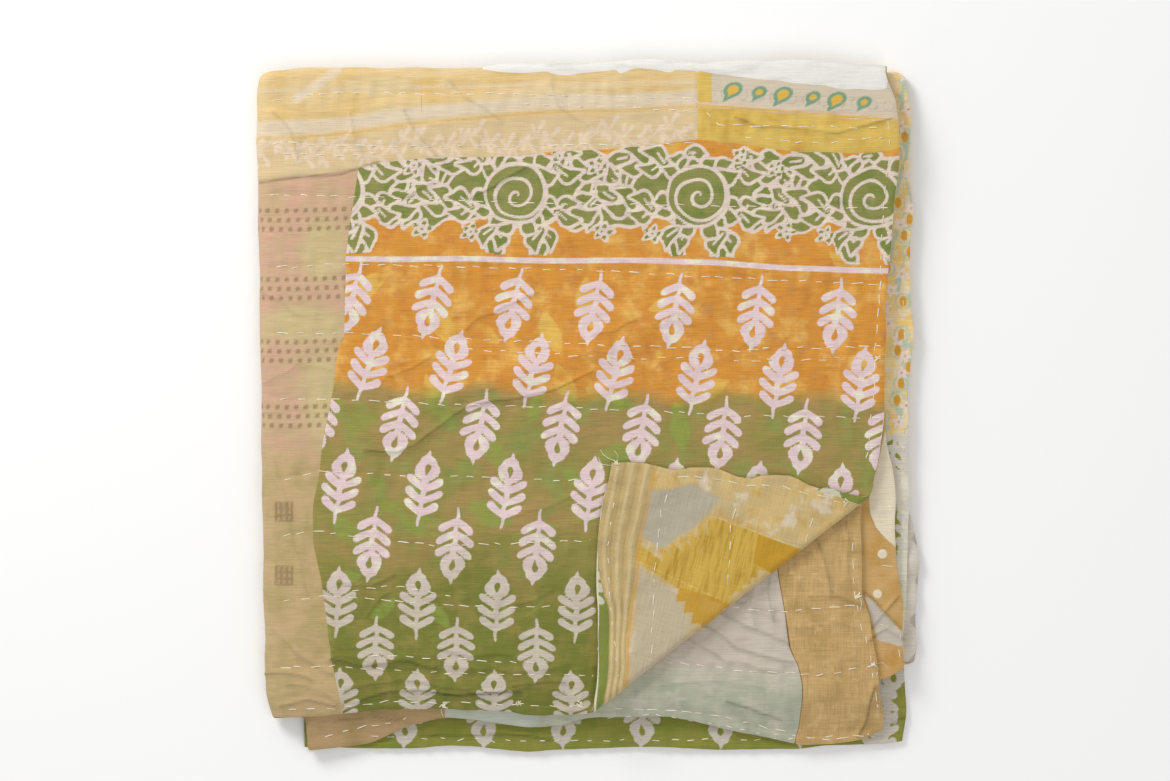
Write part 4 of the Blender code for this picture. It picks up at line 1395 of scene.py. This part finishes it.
class SARI_OT_left_strip(bpy.types.Operator):
    """Adds the rose-beige strip that wraps the left fold"""
    bl_idname = "sari.left_strip"
    bl_label = "Left strip"

    def execute(self, context):
        right = shifted(FIELD_LEFT, 4)
        bottom = ((-290, -249),) + BOTTOM_EDGES[7][:3]
        top = shifted(STRIP_BOTTOM[:6], 4)
        grid = outline_grid(constant(LEFT_WRAP), right, bottom, top, FINE_STEP)
        x, up = in_mm(grid)
        moss = np.minimum(to_oval(x, up, (-212, 126), 16, 26), to_oval(x, up, (-226, 66), 40, 14))
        moss = np.minimum(moss, to_oval(x, up, (-210, 10), 18, 40))
        prints = {
            "squares": squares_print(x, up),
            "moss": moss,
            "tan": smooth_step((-10 - up) / 50),
        }
        lay_patch("left_strip", 7, grid, sizes().patch_rise - 0.15 * MM, prints, squares_material(),
                  TOP_ROWS)
        return {"FINISHED"}


CREAM_LINE = ((-282, 223), (-258, 224), (-206, 226), (-150, 234), (-86, 240), (-22, 245), (26, 246),
              (90, 249))
VINE_SCALE = 1.35
VINE_SPRIGS = 64
DROPS = (116, 137, 156, 180, 199, 221)


def faded_prints(grid):
    """The faded strip's cream band, its stripes, its vine and a seam."""
    x, up = in_mm(grid)
    cream_line = curve_through(CREAM_LINE, grid[0]) / MM
    cream = np.abs(up - cream_line) - 5.5
    cream = np.minimum(cream, to_stroke(x, up, (-200, 271), (-232, 248), 3.2, 4.0))
    cream = np.minimum(cream, np.abs(up - 259 - 0.02 * x) - 0.8)
    along = x / VINE_SCALE
    vine_up = (up - 215 - 0.04 * x - 2 * np.sin(x / 23)) / VINE_SCALE
    vine = np.abs(vine_up - 4 * np.sin(along / 6.2)) * 0.75 - 0.5
    for number in range(VINE_SPRIGS):
        root_x, side = -212 + 4.4 * number, 1 if number % 2 else -1
        root = (root_x, 4 * np.sin(root_x / 6.2))
        tip = (root_x + 5, root[1] + side * (7 + 2 * np.cos(number * 1.7)))
        vine = np.minimum(vine, to_stroke(along, vine_up, root, tip, 0.4, 1.5))
        leaf_up = root[1] + side * (5 + 2 * np.sin(number * 1.1))
        leaf = (root_x - 1 + 2 * np.sin(number * 2.3), leaf_up)
        vine = np.minimum(vine, to_stroke(along, vine_up, root, leaf, 0.3, 1.3))
    bands = np.minimum(np.abs(up - cream_line - 14) - 3, np.abs(up - cream_line + 9) - 1.2)
    bands = np.minimum(bands, np.abs(up - 266 - 2 * np.sin(x / 40)) - 1.6)
    return {
        "cream": cream,
        "bands": bands,
        "orange_line": np.abs(up - cream_line + 8) - 0.7,
        "vine": np.where((up < cream_line - 6) & (up > 190), vine * VINE_SCALE, FAR),
        "vine_ground": smooth_step((cream_line - 7 - up) / 6) * 0.8,
        "seam": np.where((up > 236) & (up < 262), np.abs(x + 133) - 0.35, FAR),
    }


def mustard_prints(grid):
    """The mustard patch's border, with its lines, rings and drops."""
    x, up = in_mm(grid)
    border_edge = 243 - 0.075 * (x - 100)
    rings = np.abs(np.hypot((x % 13) - 6.5, up - border_edge - 9) - 4) - 0.5
    drops = np.full(x.shape, FAR)
    for number, centre in enumerate(DROPS):
        local_x, local_y = turned(x - centre, up - border_edge - 13 + 0.02 * (x - 100), 30)
        drop = np.minimum(to_oval(local_x, local_y, (0, 0), 8.5, 5.6),
                          to_stroke(local_x, local_y, (-4, -2), (-12, -5), 3.5, 0.5))
        drops = np.minimum(drops, drop + (1.2 if number % 2 else 0))
    line = np.minimum(np.abs(up - border_edge) - 0.9, np.abs(up - border_edge + 3.2) - 0.5)
    return {
        "border": np.maximum(border_edge - up, 6 - np.abs(x - 93)),
        "rings": np.where((up > border_edge) & (x > 100), rings, FAR),
        "drops": np.where(x > 102, drops, FAR),
        "lines": line,
    }


class SARI_OT_top_patches(bpy.types.Operator):
    """Adds the faded strip, the bordered mustard patch and the white patch along the top"""
    bl_idname = "sari.top_patches"
    bl_label = "Top patches"

    def execute(self, context):
        rise = sizes().patch_rise + sizes().overlap_rise
        grid = outline_grid(constant(LEFT_WRAP), constant(88), STRIP_BOTTOM, constant(TOP_WRAP), FINE_STEP)
        lay_patch("faded_strip", 7, grid, rise, faded_prints(grid), pale_strip_material(), TOP_ROWS)

        right = tuple((up, x) for up, x in RIGHT_HEMS[7] if up > 150) + ((150, 243),)
        right = right + ((TOP_WRAP, 240),)
        grid = outline_grid(constant(87), right, FIELD_TOP[5:], constant(TOP_WRAP), FINE_STEP)
        lay_patch("mustard_patch", 7, grid, rise, mustard_prints(grid), mustard_material(), TOP_ROWS)

        jag = tuple((x + (3 if number % 2 else 0), up) for number, (x, up) in enumerate(WHITE_BOTTOM))
        right = ((250, 236), (258, 240), (270, 238), (TOP_WRAP + 4, 239))
        grid = outline_grid(constant(-85), right, jag, constant(TOP_WRAP + 4), FINE_STEP)
        lay_patch("white_patch", 7, grid, rise + sizes().overlap_rise, {}, white_material(), TOP_ROWS)
        return {"FINISHED"}


def flap_side(x, up):
    """Places on the turned corner as seen from above, in mm."""
    turned_x, turned_up, _ = turn_back(x, up)
    return turned_x / MM, turned_up / MM


def toothed(start, end, teeth, depth):
    """Points of a toothed edge from start to end, its teeth standing out to its left."""
    run = np.subtract(end, start) / teeth
    left = np.array((-run[1], run[0])) / np.hypot(*run) * depth
    points = []
    for tooth in range(teeth):
        points += [tuple(start + run * tooth), tuple(start + run * (tooth + 0.62) + left)]
    return tuple(points)


STEPPED_BAND = (
    ((39, -107),) + toothed((60, -123), (104, -98), 6, 12) + ((104, -88), (172, -114), (150, -133))
    + toothed((142, -130), (118, -152), 4, -5) + ((110, -157), (73, -145), (39, -122))
)
OCHRE_LOBE = ((73, -143), (112, -155)) + toothed((114, -158), (93, -182), 3, -4) + (
    toothed((88, -181), (64, -146), 4, -7))
OCHRE_END = ((136, -101), (172, -113), (150, -134), (140, -128), (132, -124))
GREY_SHAPE = ((42, -64), (62, -66), (82, -60), (106, -72), (96, -84), (84, -96), (70, -104), (60, -112),
              (50, -108), (40, -100))
LOW_GREY = ((38, -124), (70, -146), (84, -172), (60, -220), (30, -236), (38, -160))
BAND_WIDTHS = ((0, 19), (22, 20), (45, 23), (68, 24), (90, 26), (125, 32), (140, 32), (176, 34), (203, 34))
LIP_WIDTHS = ((0, 4), (22, 7), (45, 9), (68, 10), (88, 9), (101, 5), (124, 1), (140, 0), (203, 0))
TOP_LIP_WIDTHS = ((-280, 0), (-120, 0), (-108, 4), (-84, 6), (-60, 6))
LIP_LEAVES = (LeafRow(-150, 0, -2, 64, 1, 1, 0), LeafRow(-216, 0, -8, 64, 1, 1, 0),
              LeafRow(-60, 0, 192, 64, 1, 1, 0))
BAND_RIDGE = 0.7 * MM


def flap_edges(x, up):
    """Distances on the turned corner from its free edge, past its lip, and the hem's width."""
    from_edge = up - curve_through(BOTTOM_EDGES[7], x)
    lip = curve_through(LIP_WIDTHS, x)
    return (from_edge - lip) / MM, (curve_through(BAND_WIDTHS, x) - lip) / MM


def flap_hem_shape(x, up):
    """Three ridges of the hem that was turned under along the corner's free edge."""
    away, width = flap_edges(x, up)
    share = np.clip(away / width, -0.2, 1.0)
    ridges = np.sin(pi * 3 * share) ** 2
    return np.where(share < 1.0, BAND_RIDGE * ridges, 0.0)


class SARI_OT_turned_corner(bpy.types.Operator):
    """Adds the other side of the cloth on the turned corner, with its ridged hem"""
    bl_idname = "sari.turned_corner"
    bl_label = "Turned corner"

    def execute(self, context):
        grid = outline_grid(constant(-30), RIGHT_HEMS[7], BOTTOM_EDGES[7], constant(-40), FINE_STEP)
        keep_from = turn_directions()[2]
        away = (grid[0] - TURN_RIGHT.x) * keep_from.x + (grid[1] - TURN_RIGHT.y) * keep_from.y
        x, up = flap_side(*grid)
        saw = 1.6 * np.abs((x * 0.8 + up * 0.6) % 5 - 2.5) - 2.0
        from_lip, hem_width = flap_edges(*grid)
        lip_width = curve_through(LIP_WIDTHS, grid[0]) / MM
        fold_share = from_lip * 3 / hem_width
        from_ridge = np.abs(fold_share - np.floor(fold_share) - 0.5) * hem_width / 3
        top_lip = curve_through(TOP_LIP_WIDTHS, grid[1])
        from_top = (curve_through(RIGHT_HEMS[7], grid[1]) - grid[0] - top_lip) / MM
        prints = {
            "mustard": to_polygon(x, up, STEPPED_BAND),
            "ochre": np.minimum(to_polygon(x, up, OCHRE_LOBE), to_polygon(x, up, OCHRE_END)),
            "grey": to_polygon(x, up, GREY_SHAPE) + 0.5 * saw,
            "low_grey": to_polygon(x, up, LOW_GREY),
            "pale_line": np.minimum(to_stroke(x, up, (104, -88), (172, -113), 0.5, 0.5),
                                    to_stroke(x, up, (39, -122), (112, -156), 0.3, 0.3)),
            "band": from_lip - hem_width,
            # Painted shade in the hem's valleys and painted highlight on its ridges
            "painted_valley_shade": hem_width / 6 - from_ridge - 0.7,
            "ridge": from_ridge - 1.2,
            "orange_line": np.abs(from_lip - hem_width - 1.5) - 1.2,
            "lip": np.minimum(from_lip, from_top),
            "free_edge": np.maximum(from_lip, np.abs(from_lip + lip_width) - 1.1),
            "lip_leaves": leaf_field(x, up, LIP_LEAVES),
        }
        lay_patch("turned_corner", 7, grid, sizes().patch_rise, prints, flap_material(), FLAP_ROWS,
                  face=-1, shape=flap_hem_shape, keep=away > TURN_ARC * 0.3)
        return {"FINISHED"}


LILAC_FLOWERS = ((96, -222), (70, -232), (128, -236), (40, -236), (150, -250), (110, -250), (150, -222))


class SARI_OT_second_layer(bpy.types.Operator):
    """Adds the lilac, gauze and peach patches of the second layer"""
    bl_idname = "sari.second_layer"
    bl_label = "Second layer"

    def execute(self, context):
        rise = sizes().patch_rise
        seam = ((-290, 168), (-268, 166), (-254, 169), (-226, 171), (-209, 168), (-190, 160), (-167, 157),
                (-137, 152), (-100, 146), (-40, 140))
        grid = outline_grid(constant(-40), shifted(seam, 2), BOTTOM_EDGES[6], constant(-60), FINE_STEP)
        x, up = in_mm(grid)
        flowers = np.full(x.shape, FAR)
        for fx, fy in LILAC_FLOWERS:
            radius, angle = np.hypot(x - fx, up - fy), np.arctan2(up - fy, x - fx)
            flowers = np.minimum(flowers, radius - 6 - 2.5 * np.cos(5 * angle))
        prints = {"sea_green": smooth_step((-198 - 0.06 * (x - 60) - up) / 26), "flowers": flowers}
        lay_patch("lilac_patch", 6, grid, rise, prints, lilac_material(), SECOND_LAYER_ROWS, hems="b")

        grid = outline_grid(seam, RIGHT_HEMS[6], BOTTOM_EDGES[6], constant(-60), FINE_STEP)
        from_seam = grid[0] - curve_through(seam, grid[1]) - wander(grid[1], LEFT)
        lay_patch("gauze_patch", 6, grid, rise + sizes().overlap_rise, {"seam": from_seam / MM - 1.3},
                  gauze_material(), SECOND_LAYER_ROWS, hems="rb")

        bottom = ((-262, -275),) + BOTTOM_EDGES[6][:5]
        grid = outline_grid(constant(-252), constant(-114), bottom, constant(-225), PLAIN_STEP)
        peach = plain_material("peach_cotton", "#B4966C", "#A38A5C")
        lay_patch("peach_patch", 6, grid, rise, {}, peach, ())
        grid = outline_grid(constant(-116), constant(-38), BOTTOM_EDGES[6], constant(-225), PLAIN_STEP)
        blue = plain_material("blue_grey_cotton", "#BCC2B2", "#B3B6A4")
        lay_patch("blue_grey_patch", 6, grid, rise - 0.1 * MM, {}, blue, ())
        return {"FINISHED"}


def floral_print(x, up):
    """Small flowers, twigs and buds, set out at random from one seed."""
    draw = np.random.default_rng(21)
    petals, sage, buds = (np.full(x.shape, FAR) for _ in range(3))
    for number in range(66):
        fx, fy = 230 + 32 * draw.uniform(), 266 - number * 4.4
        radius, angle = np.hypot(x - fx, up - fy), np.arctan2(up - fy, x - fx) + draw.uniform() * 6
        kind = number % 3
        if kind == 0:
            petals = np.minimum(petals, radius - 4.2 - 1.8 * np.cos(5 * angle))
            buds = np.minimum(buds, radius - 1.2)
        elif kind == 1:
            end = (fx + 7 * draw.uniform(-1, 1), fy + 16)
            sage = np.minimum(sage, to_stroke(x, up, (fx, fy - 9), end, 1.3, 0.8))
            sage = np.minimum(sage, radius - 2.8 - 1.5 * np.cos(2 * angle))
        else:
            buds = np.minimum(buds, to_oval(x, up, (fx, fy), 2.8, 4.6))
            sage = np.minimum(sage, np.abs(radius - 6) - 0.8)
    return petals, sage, buds


CREAM_SHAPE = ((238, -18), (231, -50), (225, -66), (226, -84), (231, -96), (238, -104), (246, -111),
               (262, -112), (262, -18))
LILAC_PIECE = ((222, -150), (228, -154), (254, -182), (254, -192), (232, -186))
THIRD_LAYER_ROWS = (((200, -76), (252, -78)), ((200, -126), (252, -128)), ((200, -174), (252, -176)))


class SARI_OT_right_edges(bpy.types.Operator):
    """Adds what shows of the third layer and of the two below it along the right"""
    bl_idname = "sari.right_edges"
    bl_label = "Right edges"

    def execute(self, context):
        rise = sizes().patch_rise
        grid = outline_grid(constant(196), RIGHT_HEMS[5], UPPER_FOLD_LINE, constant(-10), FINE_STEP)
        x, up = in_mm(grid)
        blob = to_polygon(x, up, CREAM_SHAPE)
        dots = np.minimum(np.hypot(x - 236, up + 117) - 3.8, np.hypot(x - 232, up + 149) - 3.6)
        prints = {
            "cream": np.minimum(blob, dots),
            "cream_edge": np.abs(blob) - 0.3,
            "lilac": to_polygon(x, up, LILAC_PIECE),
        }
        lay_patch("third_layer_patch", 5, grid, rise, prints, third_layer_material(), THIRD_LAYER_ROWS)

        right = tuple((up, x) for up, x in RIGHT_HEMS[3] if up > -60) + ((-60, 258), (283, 252))
        grid = outline_grid(constant(214), right, constant(-22), constant(280), FINE_STEP)
        x, up = in_mm(grid)
        petals, sage, buds = floral_print(x, up)
        prints = {"petals": petals, "sage": sage, "buds": buds}
        lay_patch("floral_strip", 3, grid, rise + sizes().overlap_rise, prints, floral_material(), ())

        grid = outline_grid(constant(214), RIGHT_HEMS[3], LOWER_FOLD_LINE, constant(-18), FINE_STEP)
        x, up = in_mm(grid)
        leaves = leaf_field(x, up, (LeafRow(-44, 0, 244, 64, 1, 1, 8), LeafRow(-92, 0, 262, 64, 1, -1, 5)))
        cream = np.minimum(249 + 2.5 * np.sin(up / 9) - x, FAR)
        prints = {"leaf": leaves, "cream": cream}
        cream_print = Print("#E0DBC8", "cream", 1.6, 1.6)
        green = leaf_strip_material("green_leaf_cotton", "#93963F", "#7F8838", "#DAD3C4", cream_print)
        lay_patch("green_edge_strip", 3, grid, rise, prints, green, ())

        grid = outline_grid(constant(214), RIGHT_HEMS[2], LOWER_FOLD_LINE, constant(-60), FINE_STEP)
        grey = plain_material("grey_lilac_cotton", "#DAD2C4", "#CBC2B4")
        lay_patch("grey_lilac_patch", 2, grid, rise, {}, grey, (), shape=ruffle)
        return {"FINISHED"}


def ruffle(x, up):
    """Small waves in a loose edge."""
    return 1.4 * MM * np.sin(up / (5.2 * MM)) * smooth_step((x - 0.250) / 0.012)


class SARI_OT_lowest_strip(bpy.types.Operator):
    """Adds the green leaf print of the lowest layers that show, and of the underside"""
    bl_idname = "sari.lowest_strip"
    bl_label = "Lowest strip"

    def execute(self, context):
        grid = outline_grid(constant(-228), RIGHT_HEMS[1], BOTTOM_EDGES[1], constant(-204), FINE_STEP)
        x, up = in_mm(grid)
        rows = (LeafRow(-247, 0, -147, 63.6, 7, 1, 2), LeafRow(-252, 0, 235, 64, 1, -1, 2),
                LeafRow(-204, 0, 246, 64, 1, 1, 2))
        prints = {"leaf": leaf_field(x, up, rows)}
        green = leaf_strip_material("olive_leaf_cotton", "#8C8B3E", "#7F8836", "#CBC4B6")
        stitched = (((-200, -264), (-60, -268), (120, -267), (246, -263)),)
        lay_patch("lowest_strip", 1, grid, sizes().patch_rise, prints, green, stitched)

        left = shifted(LEFT_FOLD, 14)
        top = shifted(TOP_FOLDS["lower"], -8)
        right, bottom = shifted(RIGHT_HEMS[0], -3), shifted(BOTTOM_EDGES[0], 4)
        grid = outline_grid(left, right, bottom, top, PLAIN_STEP)
        rows = [LeafRow(-220 + 45 * row, 0.01, -222 + 32 * (row % 2), 64, 8, 1 - 2 * (row % 2), 2)
                for row in range(11)]
        prints = {"leaf": leaf_field(*in_mm(grid), rows)}
        lay_patch("underside_panel", 0, grid, UNDERSIDE_DROP, prints, green, face=-1, relieved=False)
        return {"FINISHED"}


# Stitched threads that aren't rows of the tables above: points as seen from above, mm, and the
# share of each stitch that shows
Thread = namedtuple("Thread", "points shows")
HEM_THREADS = tuple(Thread(*row) for row in (
    # Second threads beside some of the top layer's rows
    (((-110, 48), (-40, 44), (30, 40), (90, 40)), 0.5),
    (((-60, 244), (40, 240), (84, 238)), 0.5),
    (((-250, 205), (-200, 202), (-170, 204)), 0.5),
    (((-190, -146), (-150, -142), (-110, -150)), 0.5),
    (((110, 38), (170, 38), (228, 42)), 0.5),
    (((-180, -198), (-120, -200), (-40, -204)), 0.5),
    (((120, 216), (180, 212), (236, 216)), 0.5),
    # Right hem of the top layer, and its bottom hem
    (((238, 234), (242, 201), (237, 171), (234, 127), (234, 104), (231, 70), (230, 50), (229, 13),
      (226, -8), (222, -40)), 0.5),
    (TOP_HEM_ROW, 0.5),
    # Columns that were sewn up the turned corner
    (((63, -68), (56, -98), (54, -122), (51, -167), (50, -196)), 0.55),
    (((119, -75), (115, -94), (113, -122), (111, -146)), 0.55),
    (((180, -82), (174, -108)), 0.6),
    (((22, -66), (16, -110), (18, -160), (24, -214)), 0.3),
    # Gauze hem and the lower layers' right hems
    (((212, -94), (212, -140), (218, -170), (226, -200), (232, -240)), 0.5),
    (((10, -250), (48, -245), (90, -252), (140, -262), (190, -266), (226, -262)), 0.35),
    (((250, 236), (254, 190), (256, 140), (254, 80), (255, 20), (253, -20), (252, -90), (253, -160),
      (250, -200)), 0.4),
    (((-221, -268), (-208, -263), (-194, -259), (-180, -256), (-162, -253), (-146, -249)), 0.5),
    (((-180, -264), (-60, -268), (120, -267), (246, -263)), 0.4),
    (((224, -126), (248, -129)), 0.6),
    (((222, -172), (248, -176)), 0.6),
    (((230, -78), (250, -80)), 0.6),
))
KNOTS = ((23, -44), (-115, -238), (-55, -236), (-6, -238), (216, -150), (228, -205), (206, -76), (232, 40))
TAILS = (
    ((23, -43), (16, -40), (12, -37), (10, -33)),
    ((22, -44), (18, -46), (11, -45), (8, -39)),
    ((24, -43), (24, -38), (21, -34)),
    ((216, -150), (219, -155), (218, -162)),
    ((217, -150), (222, -152), (225, -158)),
    ((228, -205), (233, -208), (231, -214)),
    ((229, -205), (236, -204), (240, -208)),
    ((-115, -238), (-118, -243), (-116, -248)),
)
STITCH_RINGS = 5
TAIL_RINGS = 14
TAIL_WIDTH = 0.5
STITCH_STRAY = 0.45 * MM
STITCH_LEAN = 0.35 * MM
KNOT_LOOPS = 5
KNOT_SPREAD = 0.8 * MM
KNOT_REACH = 2.4 * MM
THREAD_SINK = 0.35 * MM
THREAD_RISE = 0.3 * MM


def joined(parts):
    """All points and all faces of several pairs of them."""
    firsts = np.cumsum([0] + [len(points) for points, _ in parts[:-1]])
    faces = [faces + first for (_, faces), first in zip(parts, firsts)]
    return np.concatenate([points for points, _ in parts]), np.concatenate(faces)


def cloth_tree(pieces):
    """A search tree of the pieces' faces, to find the cloth under a plan position."""
    parts = []
    for piece in pieces:
        mesh = piece.data
        own = np.empty(len(mesh.vertices) * 3, np.float32)
        mesh.vertices.foreach_get("co", own)
        corners = np.empty(len(mesh.loops), np.int32)
        mesh.loops.foreach_get("vertex_index", corners)
        parts.append((own.reshape(-1, 3), corners.reshape(-1, 4)))
    points, faces = joined(parts)
    return BVHTree.FromPolygons(points.tolist(), faces.tolist())


def thread_mesh(tree, path, rises, width):
    """Points and faces of one length of thread that lies on the cloth along a plan path."""
    places, height = [], layer_height(0)
    for (x, up), rise in zip(path, rises):
        hit = tree.ray_cast((x, up, 0.1), (0, 0, -1))[0]
        height = hit.z if hit else max(height - THREAD_SINK, THREAD_RISE)
        places.append((x, up, height + rise))
    places = np.array(places)
    forward = np.gradient(places[:, :2], axis=0)
    forward /= np.maximum(np.linalg.norm(forward, axis=1, keepdims=True), 1e-9)
    side = np.column_stack((-forward[:, 1], forward[:, 0], np.zeros(len(path))))
    section = ((-0.5, 0.0), (-0.25, 0.4), (0.25, 0.4), (0.5, 0.0))
    rings = [places + side * width * across + (0, 0, width * lift) for across, lift in section]
    return np.stack(rings, axis=1).reshape(-1, 3), grid_faces(len(path), len(section))


def stitch_paths(points, shows, draw):
    """Plan paths of the running stitches along a line of points in mm."""
    points = np.array(points, float) * MM
    runs = np.hypot(*np.diff(points, axis=0).T)
    stations = np.concatenate(([0], np.cumsum(runs)))
    pitch = sizes().stitch_length + sizes().stitch_gap
    start = pitch * draw.uniform()
    while start < stations[-1]:
        length = pitch * shows * draw.uniform(0.6, 1.3)
        along = np.linspace(start, min(start + length, stations[-1]), STITCH_RINGS)
        across = draw.normal(0, STITCH_STRAY)
        across = across + np.linspace(-1, 1, STITCH_RINGS) * draw.normal(0, STITCH_LEAN)
        x = np.interp(along, stations, points[:, 0])
        up = np.interp(along, stations, points[:, 1])
        way = np.array((x[-1] - x[0], up[-1] - up[0]))
        way /= max(np.hypot(*way), 1e-9)
        yield np.column_stack((x - way[1] * across, up + way[0] * across))
        start += pitch * draw.uniform(0.8, 1.2)


class SARI_OT_stitches(bpy.types.Operator):
    """Adds the running stitches, knots and thread ends"""
    bl_idname = "sari.stitches"
    bl_label = "Stitches"

    def execute(self, context):
        pieces = [piece for piece in context.scene.objects if piece.get("sari_patch")]
        tree = cloth_tree(pieces)
        draw = np.random.default_rng(8)
        over_and_under = THREAD_RISE * np.array((-1.2, 0.4, 1.0, 0.4, -1.2))
        share = sizes().stitch_length / (sizes().stitch_length + sizes().stitch_gap)
        lines = [Thread(row, share) for row in TOP_ROWS + FLAP_ROWS + SECOND_LAYER_ROWS]
        lines += HEM_THREADS
        lengths = []
        for line in lines:
            for path in stitch_paths(line.points, line.shows, draw):
                lengths.append((path, over_and_under))
        for x, up in KNOTS:
            for _ in range(KNOT_LOOPS):
                middle = np.array((x, up)) * MM + draw.normal(0, KNOT_SPREAD, 2)
                way = np.array((np.cos(draw.uniform(0, pi)), draw.uniform(-1, 1))) * KNOT_REACH
                path = middle + np.linspace(-1, 1, STITCH_RINGS)[:, None] * way
                lengths.append((path, over_and_under + THREAD_RISE))
        for tail in TAILS:
            stations = np.linspace(0, len(tail) - 1, TAIL_RINGS)
            tail = np.array(tail, float) * MM
            path = np.column_stack([np.interp(stations, np.arange(len(tail)), values)
                                    for values in tail.T])
            lengths.append((path, np.full(TAIL_RINGS, THREAD_RISE)))
        parts = []
        for path, rises in lengths:
            share = TAIL_WIDTH if len(path) == TAIL_RINGS else draw.uniform(0.8, 1.15)
            parts.append(thread_mesh(tree, path, rises, sizes().thread_width * share))
        points, faces = joined(parts)
        mesh = bpy.data.meshes.new("running_stitches")
        mesh.from_pydata(points, [], faces)
        mesh.shade_smooth()
        mesh.flip_normals()
        mesh.materials.append(thread_material())
        stitches = new_object("running_stitches", mesh)
        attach(stitches, "root")
        return {"FINISHED"}


class SARI_OT_stage(bpy.types.Operator):
    """Adds the pale floor, the soft lights and the camera over the quilt"""
    bl_idname = "sari.stage"
    bl_label = "Stage"

    def execute(self, context):
        bpy.ops.object.select_all(action="DESELECT")
        bpy.ops.mesh.primitive_plane_add(size=8.0, location=(0, 0, 0))
        floor = context.object
        floor.name = "floor"
        material = bpy.data.materials.new("white_studio_paper")
        material.use_nodes = True
        shader = material.node_tree.nodes["Principled BSDF"]
        shader.inputs["Base Color"].default_value = linear("#FCFCFB")
        shader.inputs["Roughness"].default_value = 0.95
        shader.inputs["Specular IOR Level"].default_value = 0.0
        floor.data.materials.append(material)
        floor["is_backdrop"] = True

        world = bpy.data.worlds.new("studio")
        world.use_nodes = True
        world.node_tree.nodes["Background"].inputs[0].default_value = (1, 1, 1, 1)
        world.node_tree.nodes["Background"].inputs[1].default_value = 0.5
        context.scene.world = world
        for name, place, size, power in STUDIO_LIGHTS:
            light = bpy.data.lights.new(name, "AREA")
            light.size = size
            light.energy = power
            lamp = new_object(name, light)
            lamp.location = place
            lamp.rotation_euler = (-Vector(place)).to_track_quat("-Z", "Y").to_euler()

        camera_data = bpy.data.cameras.new("view_from_above")
        camera_data.sensor_width = 36
        camera_data.lens = 36 * CAMERA_HEIGHT / VIEW_WIDTH
        camera = new_object("view_from_above", camera_data)
        camera.location = (*VIEW_CENTRE, CAMERA_HEIGHT + layer_height(7))
        context.scene.camera = camera
        context.scene.view_settings.view_transform = "Standard"
        return {"FINISHED"}


class SARI_PT_quilt(bpy.types.Panel):
    """Lists the quilt's settings and pieces"""
    bl_label = "Sari quilt"
    bl_idname = "SARI_PT_quilt"
    bl_space_type = "VIEW_3D"
    bl_region_type = "UI"
    bl_category = "Sari quilt"

    def draw(self, context):
        for group in (sizes(), colours()):
            for name in group.__annotations__:
                self.layout.prop(group, name)
        for operator in OPERATORS:
            self.layout.operator(operator.bl_idname)


OPERATORS = (
    SARI_OT_stage,
    SARI_OT_folded_cloth,
    SARI_OT_printed_field,
    SARI_OT_left_strip,
    SARI_OT_top_patches,
    SARI_OT_turned_corner,
    SARI_OT_second_layer,
    SARI_OT_right_edges,
    SARI_OT_lowest_strip,
    SARI_OT_stitches,
)
CLASSES = (QuiltSizes, QuiltColours, *OPERATORS, SARI_PT_quilt)


def register():
    for cls in CLASSES:
        bpy.utils.register_class(cls)
    bpy.types.Scene.sari_quilt_sizes = bpy.props.PointerProperty(type=QuiltSizes)
    bpy.types.Scene.sari_quilt_colours = bpy.props.PointerProperty(type=QuiltColours)


def unregister():
    del bpy.types.Scene.sari_quilt_sizes
    del bpy.types.Scene.sari_quilt_colours
    for cls in reversed(CLASSES):
        bpy.utils.unregister_class(cls)


def main():
    register()
    bpy.ops.sari.stage()
    bpy.ops.sari.folded_cloth()
    bpy.ops.sari.printed_field()
    bpy.ops.sari.left_strip()
    bpy.ops.sari.top_patches()
    bpy.ops.sari.turned_corner()
    bpy.ops.sari.second_layer()
    bpy.ops.sari.right_edges()
    bpy.ops.sari.lowest_strip()
    bpy.ops.sari.stitches()
    boxes = {"cad": CAD_BOX, "visual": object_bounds()}
    ({name: [[float(v) for v in corner] for corner in box]
               for name, box in boxes.items()})


if __name__ == "__main__":
    main()
